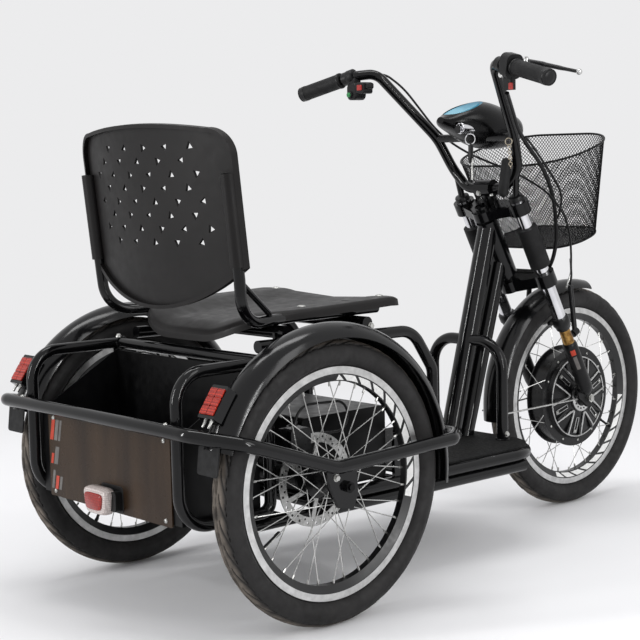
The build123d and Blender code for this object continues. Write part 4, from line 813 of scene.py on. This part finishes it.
FLAP_AXES = ((-1, 0, 0), (0, -0.12, 1), (0, 1, 0.12))
flaps = [rounded_box(np.array((x, 0.7575, 0.343)), FLAP_AXES, (0.056, 0.064, 0.003), 0.006, 0.0008)
         for x in (-0.309, 0.309)]
mesh_piece("mudflaps", flaps, "frame", RUBBER)
GUARD_ROUTE = np.array(((0, 789, 382), (300, 789, 381), (361, 716, 363), (361, 521, 296), (361, 229, 306),
                        (330, 186, 307), (235, 185, 300), (185, 207, 296))) * MM
GUARD_TUBE_R = 0.0125
guard = bent(GUARD_ROUTE, np.array((48, 60, 60, 22, 40, 20)) * MM)
guard = np.vstack((guard[:0:-1] * (-1, 1, 1), guard))
mesh_piece("guard_tube", [tube(guard, GUARD_TUBE_R, 20)], "frame", FRAME_COAT, 38,
           ["side_guard"])


def bead(place, way, radius, thick=0.0022, count=40):
    """Weld bead: a ring of wire round a tube, its thickness rippling as it was laid."""
    ripple = 1 + 0.25 * np.cos(np.arange(count * 2) * math.pi)
    return tube(place + radius * ring_round(*square_to(way), count * 2), thick * ripple, 6, True)


beads = []
for sign in (1, -1):
    beads += [bead(np.array((sign * 0.2205, 0.566, 0.475)), (1, 0, 0), 0.0112),
              bead(np.array((sign * 0.103, -0.199, 0.2125)), (0, 0, 1), 0.0127)]
lean_way = unit(from_head(0, -13, -31) - np.array((0, -0.140, 0.205)))
beads.append(bead(np.array((0, -0.140, 0.2125)), lean_way, 0.0233, 0.0026, 60))
mesh_piece("weld_beads", beads, "frame", FRAME_COAT)

# ---- seat ---------------------------------------------------------------------------------------
BACK_EYE, BACK_TILT = np.array((0, 0.656, 0.770)), math.radians(6)
BACK_AXES = np.array(((-1, 0, 0), (0, math.sin(BACK_TILT), math.cos(BACK_TILT)),
                      (0, math.cos(BACK_TILT), -math.sin(BACK_TILT))))
VENT_REACH = 0.0088


def opened_vents():
    """The backrest with its triangular vents opened up: prisms on the vents' centres cut a copy of it.
    The centres lie in eight rows, each shifted against the one above."""
    prisms = []
    for row in range(8):
        start = (12 if row % 2 == 0 else -16) + 4.7 * row
        for column in range(-3, 4):
            side = start + column * 62.0
            swing = math.radians((column * 47 + row * 83) % 120) + np.arange(3) * TAU / 3
            corners = VENT_REACH * np.column_stack((np.cos(swing), np.sin(swing)))
            centre = BACK_EYE + np.array((side, 87 - row * 24.6, 0)) * MM @ BACK_AXES
            if abs(side) < 168:
                prisms.append(plate(corners, centre - 0.06 * BACK_AXES[2], BACK_AXES, 0.12))
    cutter = bpy.data.objects.new("vent_prisms", shell_mesh("vent_prisms", prisms))
    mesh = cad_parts["backrest"].data.copy()
    welded = bmesh.new()
    welded.from_mesh(mesh)
    bmesh.ops.remove_doubles(welded, verts=welded.verts, dist=0.00001)
    welded.to_mesh(mesh)
    welded.free()
    solid = bpy.data.objects.new("backrest_solid", mesh)
    for helper in (cutter, solid):
        bpy.context.collection.objects.link(helper)
    cut = solid.modifiers.new("vents", "BOOLEAN")
    cut.operation, cut.solver, cut.object = "DIFFERENCE", "EXACT", cutter
    bpy.context.view_layer.update()
    opened = bpy.data.meshes.new_from_object(solid.evaluated_get(bpy.context.evaluated_depsgraph_get()))
    for helper in (cutter, solid):
        bpy.data.objects.remove(helper)
    if "custom_normal" in opened.attributes:
        opened.attributes.remove(opened.attributes["custom_normal"])
    opened.shade_smooth()
    opened.set_sharp_from_angle(angle=math.radians(30))
    opened.materials.clear()
    opened.materials.append(SEAT_PP)
    made = bpy.data.objects.new("backrest_moulding", opened)
    bpy.context.collection.objects.link(made)
    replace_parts(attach(made, "frame"), "backrest")


# the seat along its length: distance back, height of the rim and of the middle (millimetres)
SEAT_RUN = np.array(((189, 560, 548), (225, 562, 550), (300, 560, 547), (380, 558, 543), (450, 557, 540),
                     (510, 556, 538), (545, 552, 535), (578, 546, 530)), dtype=float)
SEAT_WALL, SEAT_SKIRT = 3.5, 12.0
SEAT_HALF_WIDE, SEAT_MIDDLE, SEAT_AHEAD, SEAT_BEHIND = 198, 400, 213, 176


def seat_shell():
    """Moulded seat: columns go round a superellipse, squarer in front and rounder behind; rows go out over
    the top, down the skirt, and back inside the wall. Across the seat the height climbs from the middle
    to the rim between a third and four fifths of the half width; the edge rolls over, most at the rear."""
    turn = np.arange(160) * TAU / 160
    c, s = np.cos(turn), np.sin(turn)
    power = np.where(s > 0, 2 / 3.2, 2 / 14.0)
    out_x = SEAT_HALF_WIDE * np.sign(c) * np.abs(c) ** power
    out_y = np.where(s > 0, SEAT_BEHIND, SEAT_AHEAD) * np.sign(s) * np.abs(s) ** power
    share = np.sin(np.linspace(0.02, 1, 44) * math.pi / 2)[:, None]
    x, y = share * out_x, SEAT_MIDDLE + share * out_y
    edge = np.clip((np.abs(x) / SEAT_HALF_WIDE - 0.30) / 0.50, 0, 1)
    rim, mid = (np.interp(y, SEAT_RUN[:, 0], SEAT_RUN[:, column]) for column in (1, 2))
    rear = np.clip((s - 0.35) / 0.65, 0, 1)
    rear = 3 * rear ** 2 - 2 * rear ** 3
    top = mid + (rim - mid) * (3 * edge ** 2 - 2 * edge ** 3)
    top = top + 2.0 * np.exp(-((x / 60) ** 2)) * np.clip((330 - y) / 120, 0, 1)
    top = top - 5 * np.clip((share - 0.955) / 0.045, 0, 1) ** 2
    top = top - 14 * rear * np.clip((share - 0.78) / 0.22, 0, 1) ** 2
    depth = np.array((0.3, 0.65, 1.0))[:, None]
    skirt_z = top[-1] - depth * SEAT_SKIRT
    slim = 1 - SEAT_WALL / SEAT_HALF_WIDE
    spread = np.vstack((share, 1 + 0.006 * depth))
    spread = np.vstack((spread, spread[::-1] * slim))
    heights = np.vstack((top, skirt_z, skirt_z[::-1], top[::-1] - SEAT_WALL))
    return np.stack((spread * out_x, SEAT_MIDDLE + spread * out_y, heights), axis=-1)[::-1] * MM


seat = seat_shell()
mesh_piece("seat_moulding", [(seat, True, False, True)], "frame", SEAT_PP, 50, ["seat_pan"])


def seat_top(x, y):
    """Point on the seat's upper face nearest to a place seen from above."""
    top = seat[-44:].reshape(-1, 3)
    return top[np.argmin(np.hypot(top[:, 0] - x, top[:, 1] - y))]


opened_vents()
seat_bolts, seat_plugs = [], []
for x in (-0.158, 0.158):
    for y in (0.412, 0.215):
        seat_bolts += button_head(seat_top(x, y) - (0, 0, 0.0005), (0, 0, 1), 0.017, 0.0032)
    seat_plugs.append(turned([(0, 0.009), (0.0006, 0.0088), (0.0009, 0.006)], seat_top(x, 0.313),
                             (0, 0, 1), 20))
mesh_piece("seat_bolt_heads", seat_bolts, "frame", ZINC)
mesh_piece("seat_plugs", seat_plugs, "frame", TRIM_PP)

# ---- handlebar controls -------------------------------------------------------------------------
caps, blades, bright, perches = [], [], [], []
for sign, clamp in ((1, along_grip(1, 127)), (-1, from_head(-206, 170, 312))):
    out = GRIP_WAY * (sign, 1, 1)
    swing = np.linspace(0, math.radians(84), 8)
    dome = np.column_stack((-0.002 + 0.008 * np.sin(swing), 0.0030 + 0.0142 * np.cos(swing)))
    caps.append(turned(np.vstack(([(-0.010, 0.0171)], dome)), along_grip(sign, 0), out, 28))
    caps.append(turned([(-0.002, 0.0171), (-0.001, 0.0178), (0.003, 0.0178), (0.004, 0.0171)],
                       along_grip(sign, 108), out, 28))
    pivot = along_grip(sign, 97 if sign > 0 else 130) + (0, -0.052, 0.008)
    tip = from_head(sign * 375, 131, 288)
    perches.append(turned([(-0.008, 0.0120), (-0.008, 0.0150), (0.008, 0.0150), (0.008, 0.0120)], clamp,
                          out, 28))
    arm = bent([clamp + (0, -0.010, 0), clamp + (sign * 0.012, -0.034, 0.003),
                pivot + (sign * -0.004, 0, 0)], [0.02], 0.003)
    perches.append(tube(arm, np.linspace(0.0085, 0.0065, len(arm)), 14))
    bright.append(turned([(-0.0075, 0.0056), (-0.0065, 0.0062), (0.0065, 0.0062), (0.0075, 0.0056)], pivot,
                         (0, 0, 1), 20))
    bright.append(turned([(0, 0.0048), (0.004, 0.0048), (0.004, 0.0036), (0.012, 0.0036), (0.013, 0.0026)],
                         pivot + (-sign * 0.020, -0.004, 0.001), (-sign, 0.05, 0), 14))
    bright += screw(pivot + (0, 0, 0.0074), (0, 0, 1), 0.008, 0.003)
    blade = bent([pivot, (pivot * 2 + tip) / 3 + (0, -0.004, 0.001),
                  (pivot + tip * 2) / 3 + (0, -0.005, 0), tip], [0.12, 0.12], 0.004)
    share = np.linspace(0, 1, len(blade))
    blades.append(tube(blade, 0.0066 - 0.0031 * share ** 0.7, 12, False, 0.55))
    swing = np.linspace(math.radians(-70), math.radians(88), 12)
    bright.append(turned(np.column_stack((0.0062 * np.sin(swing), 0.0062 * np.cos(swing))), tip,
                         tip - blade[-3], 18))
mesh_piece("grip_ends", caps, "steering", TRIM_PP)
mesh_piece("lever_blades", blades, "steering", LEVER_ALLOY, 38, ["brake_levers"])
mesh_piece("lever_perches", perches, "steering", TRIM_PP)
mesh_piece("lever_balls_and_pivots", bright, "steering", SATIN_ALLOY)

# switch pod on the left, its buttons, and the buttons on the throttle housing
BUTTON_PLACE, BUTTON_WAY = np.array((0.2165, -0.0640, 0.9690)), (0.1, 1, 0)
CASE_BOXES = (((0.2135, -0.0950, 0.9765), (0.033, 0.038, 0.032), 0.011, 0.003),
              ((0.1880, -0.0920, 0.9830), (0.030, 0.025, 0.029), 0.005, 0.002),
              ((0.1700, -0.0860, 0.9870), (0.014, 0.013, 0.018), 0.004, 0.002),
              ((0.2190, -0.0900, 0.9960), (0.020, 0.020, 0.020), 0.005, 0.002))
pod = [rounded_box(np.array(place), UPRIGHT, *sizes) for place, *sizes in CASE_BOXES]
pod += [turned([(-0.009, 0.0122), (-0.009, 0.0152), (-0.0075, 0.0162), (0.0075, 0.0162), (0.009, 0.0152),
                (0.009, 0.0122)], along_grip(1, 139), GRIP_WAY, 28),
        turned([(-0.001, 0.0078), (0.0035, 0.0078), (0.0045, 0.0068)], BUTTON_PLACE, BUTTON_WAY, 24)]
mesh_piece("switch_pod_case", pod, "steering", CONTROL_PA, 38, ["switch_pod"])
mesh_piece("green_button", [turned([(0.002, 0.0054), (0.0072, 0.0054), (0.0086, 0.0042)], BUTTON_PLACE,
                                   BUTTON_WAY, 20)], "steering", GREEN_BUTTON)


def on_housing(x, z):
    """Point on the rear face of the throttle housing."""
    return surface_point("throttle_housing", (x, 0.1, z), (0, -1, 0))[0]


mesh_piece("red_buttons",
           [rounded_box(np.array((0.1855, -0.0635, 0.9835)), UPRIGHT, (0.014, 0.012, 0.0040), 0.002, 0.001),
            rounded_box(on_housing(-0.249, 0.9655) + (0, -0.001, 0), UPRIGHT, (0.010, 0.014, 0.0045), 0.002,
                        0.001)],
           "steering", RED_BUTTON)
mesh_piece("start_button", [turned([(-0.003, 0.0055), (0.0012, 0.0055), (0.0012, 0.0035), (0.0004, 0.0033)],
                                   on_housing(-0.229, 0.989), (0, 1, 0), 24)],
           "steering", WHITE_PRINT)

# fork legs: seal, foil neck, tapered leg with two plain labels, dropout and brake post
seals, legs, necks, red_labels, grey_labels = [], [], [], [], []


def label(sign, top, low, first, last):
    """Patch lying on a fork leg between two heights and two angles from its outer side."""
    grid = [[on_leg(sign, along, 17.25, turn) for turn in np.linspace(first, last, 9)[::sign]]
            for along in np.linspace(low, top, 4)]
    return np.array(grid), False, False, False


TAB = np.array(((-10, -16), (14, -16), (30, 20), (28, 44), (-2, 44), (-18, 10))) * MM
for sign in (1, -1):
    seals.append(turned([(0, 0.0152), (0, 0.0185), (0.003, 0.0205), (0.018, 0.0205), (0.022, 0.0180),
                         (0.030, 0.0165), (0.034, 0.0130)], on_leg(sign, -288), -STEER_UP, 32))
    necks.append(turned([(0, 0.0126), (0.040, 0.0134)], on_leg(sign, -320), -STEER_UP, 32))
    legs.append(turned([(0, 0.0132), (0.003, 0.0160), (0.010, 0.0171), (0.120, 0.0171), (0.134, 0.0150),
                        (0.141, 0.0100), (0.142, 0.004)], on_leg(sign, -357), -STEER_UP, 36))
    legs.append(plate(TAB, np.array((sign * 0.062 - 0.004, FRONT_HUB[1], 0.257)),
                      (STEER_BACK, STEER_UP, (1, 0, 0)), 0.008))
    post = on_leg(sign, -354) + (-sign * 0.007, 0, 0)
    legs.append(turned([(0, 0.010), (0.010, 0.0085), (0.028, 0.006)], post, -STEER_BACK, 16))
    red_labels.append(label(sign, -372, -386, 22, 60))
    grey_labels.append(label(sign, -390, -424, 26, 56))
mesh_piece("fork_seals", seals, "steering", TRIM_PP)
mesh_piece("fork_legs", legs, "steering", FORK_PAINT, 38, ["fork_lowers"])
mesh_piece("fork_necks", necks, "steering", FOIL)
mesh_piece("fork_labels_red", red_labels, "steering", RED_ENAMEL)
mesh_piece("fork_labels_grey", grey_labels, "steering", GREY_ENAMEL)
noodle = bent([from_head(-61, -224, -112), from_head(-61, -227, -142), from_head(-60, -218, -166),
               from_head(-66, -204, -178)], [0.02, 0.014], 0.002)
mesh_piece("brake_noodle", [tube(noodle, 0.0022, 10)], "steering", STAINLESS)

# ignition lock, its key, ring and fob, and a clip with a short chain on the crossbar
lock = from_head(-30, 105.2, 188)
chrome_bits = [hoop(lock + (0, 0.0006, 0), (0, 1, 0), 0.0108, 0.0019, 8, 36),
               turned([(0, 0.0046), (0.001, 0.0046), (0.0016, 0.0035)], lock, (0, 1, 0), 20),
               rounded_box(lock + (0, 0.002, -0.001), UPRIGHT, (0.0075, 0.012, 0.006), 0.002),
               hoop(from_head(-51, 97, 164), (-0.35, 0.9, 0.1), 0.0112, 0.0011, 6, 36)]
mesh_piece("key_and_ring", chrome_bits, "steering", CHROME)
fob_axes = (unit((-1, 0.3, 0)), (0, 0, 1), unit((0.3, 1, 0)))
mesh_piece("key_fob", [rounded_box(from_head(-52, 92, 138), fob_axes, (0.014, 0.034, 0.007), 0.006),
                       rounded_box(from_head(-50, 94, 119), fob_axes, (0.009, 0.014, 0.005), 0.004),
                       rounded_box(lock + (-0.001, 0.0075, -0.003), UPRIGHT, (0.014, 0.016, 0.003), 0.004)],
           "steering", TRIM_PP)
links = [hoop(from_head(-124, 56, 157), (-0.5, 0.8, 0.1), 0.0072, 0.0012, 6, 28)]
for index in range(8):
    links.append(hoop(from_head(-125 + index * 0.4, 55 - index, 146.5 - index * 6.2),
                      (1, 0.9, 0) if index % 2 else (1, -0.9, 0), 0.0036, 0.0009, 6, 16))
mesh_piece("clip_and_chain", links, "steering", CHAIN)

# stem area: a soft connector sleeve beside the right riser, a bright adjuster rod, bolts and leg caps
sleeve_low, sleeve_top = from_head(-82, 30, 38), from_head(-88, 20, 122)
swing = np.linspace(0, math.pi / 2, 6)
inset, radii = 0.009 * (1 - np.sin(swing)), 0.002 + 0.0095 * np.cos(swing)
sleeve = np.column_stack((np.concatenate((inset[::-1], math.dist(sleeve_low, sleeve_top) - inset)),
                          np.concatenate((radii[::-1], radii))))
mesh_piece("connector_sleeve", [turned(sleeve, sleeve_low, sleeve_top - sleeve_low, 24)], "steering",
           RUBBER)
stem_bits = [turned([(0, 0.0022), (0.040, 0.0022)], from_head(0, 37, 76), (0, -0.02, 1), 10),
             turned([(0, 0.0045), (0.004, 0.0045), (0.005, 0.0035)], from_head(0, 36, 116), (0, 0, 1), 14)]
stem_bits += screw(from_head(-10, 27, 46), STEER_BACK, 0.010, 0.005)
stem_bits += button_head(from_head(-32, 9, 41), STEER_UP, 0.010, 0.004)
mesh_piece("stem_bolts", stem_bits, "steering", ZINC)
leg_caps = [turned([(-0.004, 0.0165), (0.004, 0.0165), (0.0065, 0.0150), (0.0075, 0.0110), (0.0078, 0.004)],
                   on_leg(sign, 21), STEER_UP, 28) for sign in (1, -1)]
mesh_piece("leg_caps", leg_caps, "steering", TRIM_PP)

# ---- surroundings: pale floor and soft light ----------------------------------------------------
BACKDROP = "#ececed"


def flat_sheet(name, width, depth, z, material):
    """A level rectangular sheet."""
    w, d = width / 2, depth / 2
    mesh = bpy.data.meshes.new(name)
    mesh.from_pydata([(-w, -d, z), (w, -d, z), (w, d, z), (-w, d, z)], [], [(0, 1, 2, 3)])
    made = bpy.data.objects.new(name, mesh)
    made.data.materials.append(material)
    bpy.context.collection.objects.link(made)
    return made


def floor_material():
    """Pale studio floor: it keeps the shadow near the object and turns into the backdrop's tone with
    distance, so that no horizon shows."""
    made, tree, where = blank("pale studio floor")
    tone = ramp(tree, noise(tree, where, 900), [(0.3, "#e9e9ea"), (0.7, "#ededee")])
    matt = node(tree, "ShaderNodeBsdfDiffuse", [("Color", tone)])
    glow = node(tree, "ShaderNodeEmission", Color=linear(BACKDROP), Strength=1.0)
    away = node(tree, "ShaderNodeVectorMath", [(0, where)], operation="LENGTH").outputs["Value"]
    fade = node(tree, "ShaderNodeMapRange", [(0, away)], interpolation_type="SMOOTHSTEP", i1=1.1, i2=3.2)
    mixed = node(tree, "ShaderNodeMixShader", [(0, fade.outputs[0]), (1, matt.outputs[0]),
                                               (2, glow.outputs[0])])
    return closed_with(made, mixed)


flat_sheet("floor", 60, 60, 0.0, floor_material())

world = bpy.data.worlds.new("studio")
bpy.context.scene.world = world
world.use_nodes = True
sky = world.node_tree
sky.nodes.clear()
lit = node(sky, "ShaderNodeBackground", Color=linear("#f2f2f4"), Strength=0.84)
seen = node(sky, "ShaderNodeBackground", Color=linear(BACKDROP), Strength=1.0)
ray = node(sky, "ShaderNodeLightPath")
mirror = math_node(sky, "MAXIMUM", ray.outputs["Is Glossy Ray"], ray.outputs["Is Transmission Ray"])
direct = math_node(sky, "MAXIMUM", ray.outputs["Is Camera Ray"], mirror)
mixed = node(sky, "ShaderNodeMixShader", [(0, direct), (1, lit.outputs[0]), (2, seen.outputs[0])])
node(sky, "ShaderNodeOutputWorld", [(0, mixed.outputs[0])])


def soft_light(name, place, aim, width, height, power):
    """Rectangular area light at a place, aimed at a point; its height stands nearest to upright."""
    lamp = bpy.data.lights.new(name, "AREA")
    lamp.shape = "RECTANGLE"
    lamp.size = width
    lamp.size_y = height
    lamp.energy = power
    made = bpy.data.objects.new(name, lamp)
    bpy.context.collection.objects.link(made)
    made.location = place
    made.rotation_mode = "QUATERNION"
    made.rotation_quaternion = (Vector(aim) - Vector(place)).to_track_quat("-Z", "Y")


soft_light("key", (-3.6, -0.6, 3.0), (0, 0, 0.4), 1.2, 2.2, 30)
soft_light("left strip", (1.4, 4.2, 1.6), (0, 0, 0.5), 0.22, 2.4, 75)
soft_light("right strip", (-4.2, 0.6, 1.5), (0, 0, 0.5), 0.16, 2.4, 50)
soft_light("top", (0.2, 0.2, 3.6), (0, 0, 0), 0.7, 2.6, 38)

# ---- camera -------------------------------------------------------------------------------------
EYE = np.array((-2.2888, 2.2528, 0.8331))
AZIMUTH, ELEVATION, ROLL = math.radians(228.58), math.radians(6.13), math.radians(-1.32)
look_back = np.array((math.sin(AZIMUTH) * math.cos(ELEVATION), -math.cos(AZIMUTH) * math.cos(ELEVATION),
                      math.sin(ELEVATION)))
right = unit(np.cross(-look_back, (0, 0, 1)))
up = np.cross(right, -look_back)
rolled_right = math.cos(ROLL) * right + math.sin(ROLL) * up
rolled_up = math.cos(ROLL) * up - math.sin(ROLL) * right
lens = bpy.data.cameras.new("camera")
lens.lens = 85.3
lens.sensor_width = 36.0
camera = bpy.data.objects.new("camera", lens)
bpy.context.collection.objects.link(camera)
camera.matrix_world = Matrix(np.vstack((np.column_stack((rolled_right, rolled_up, look_back, EYE)),
                                        (0, 0, 0, 1))).tolist())
bpy.context.scene.camera = camera
bpy.context.scene.view_settings.view_transform = "Standard"
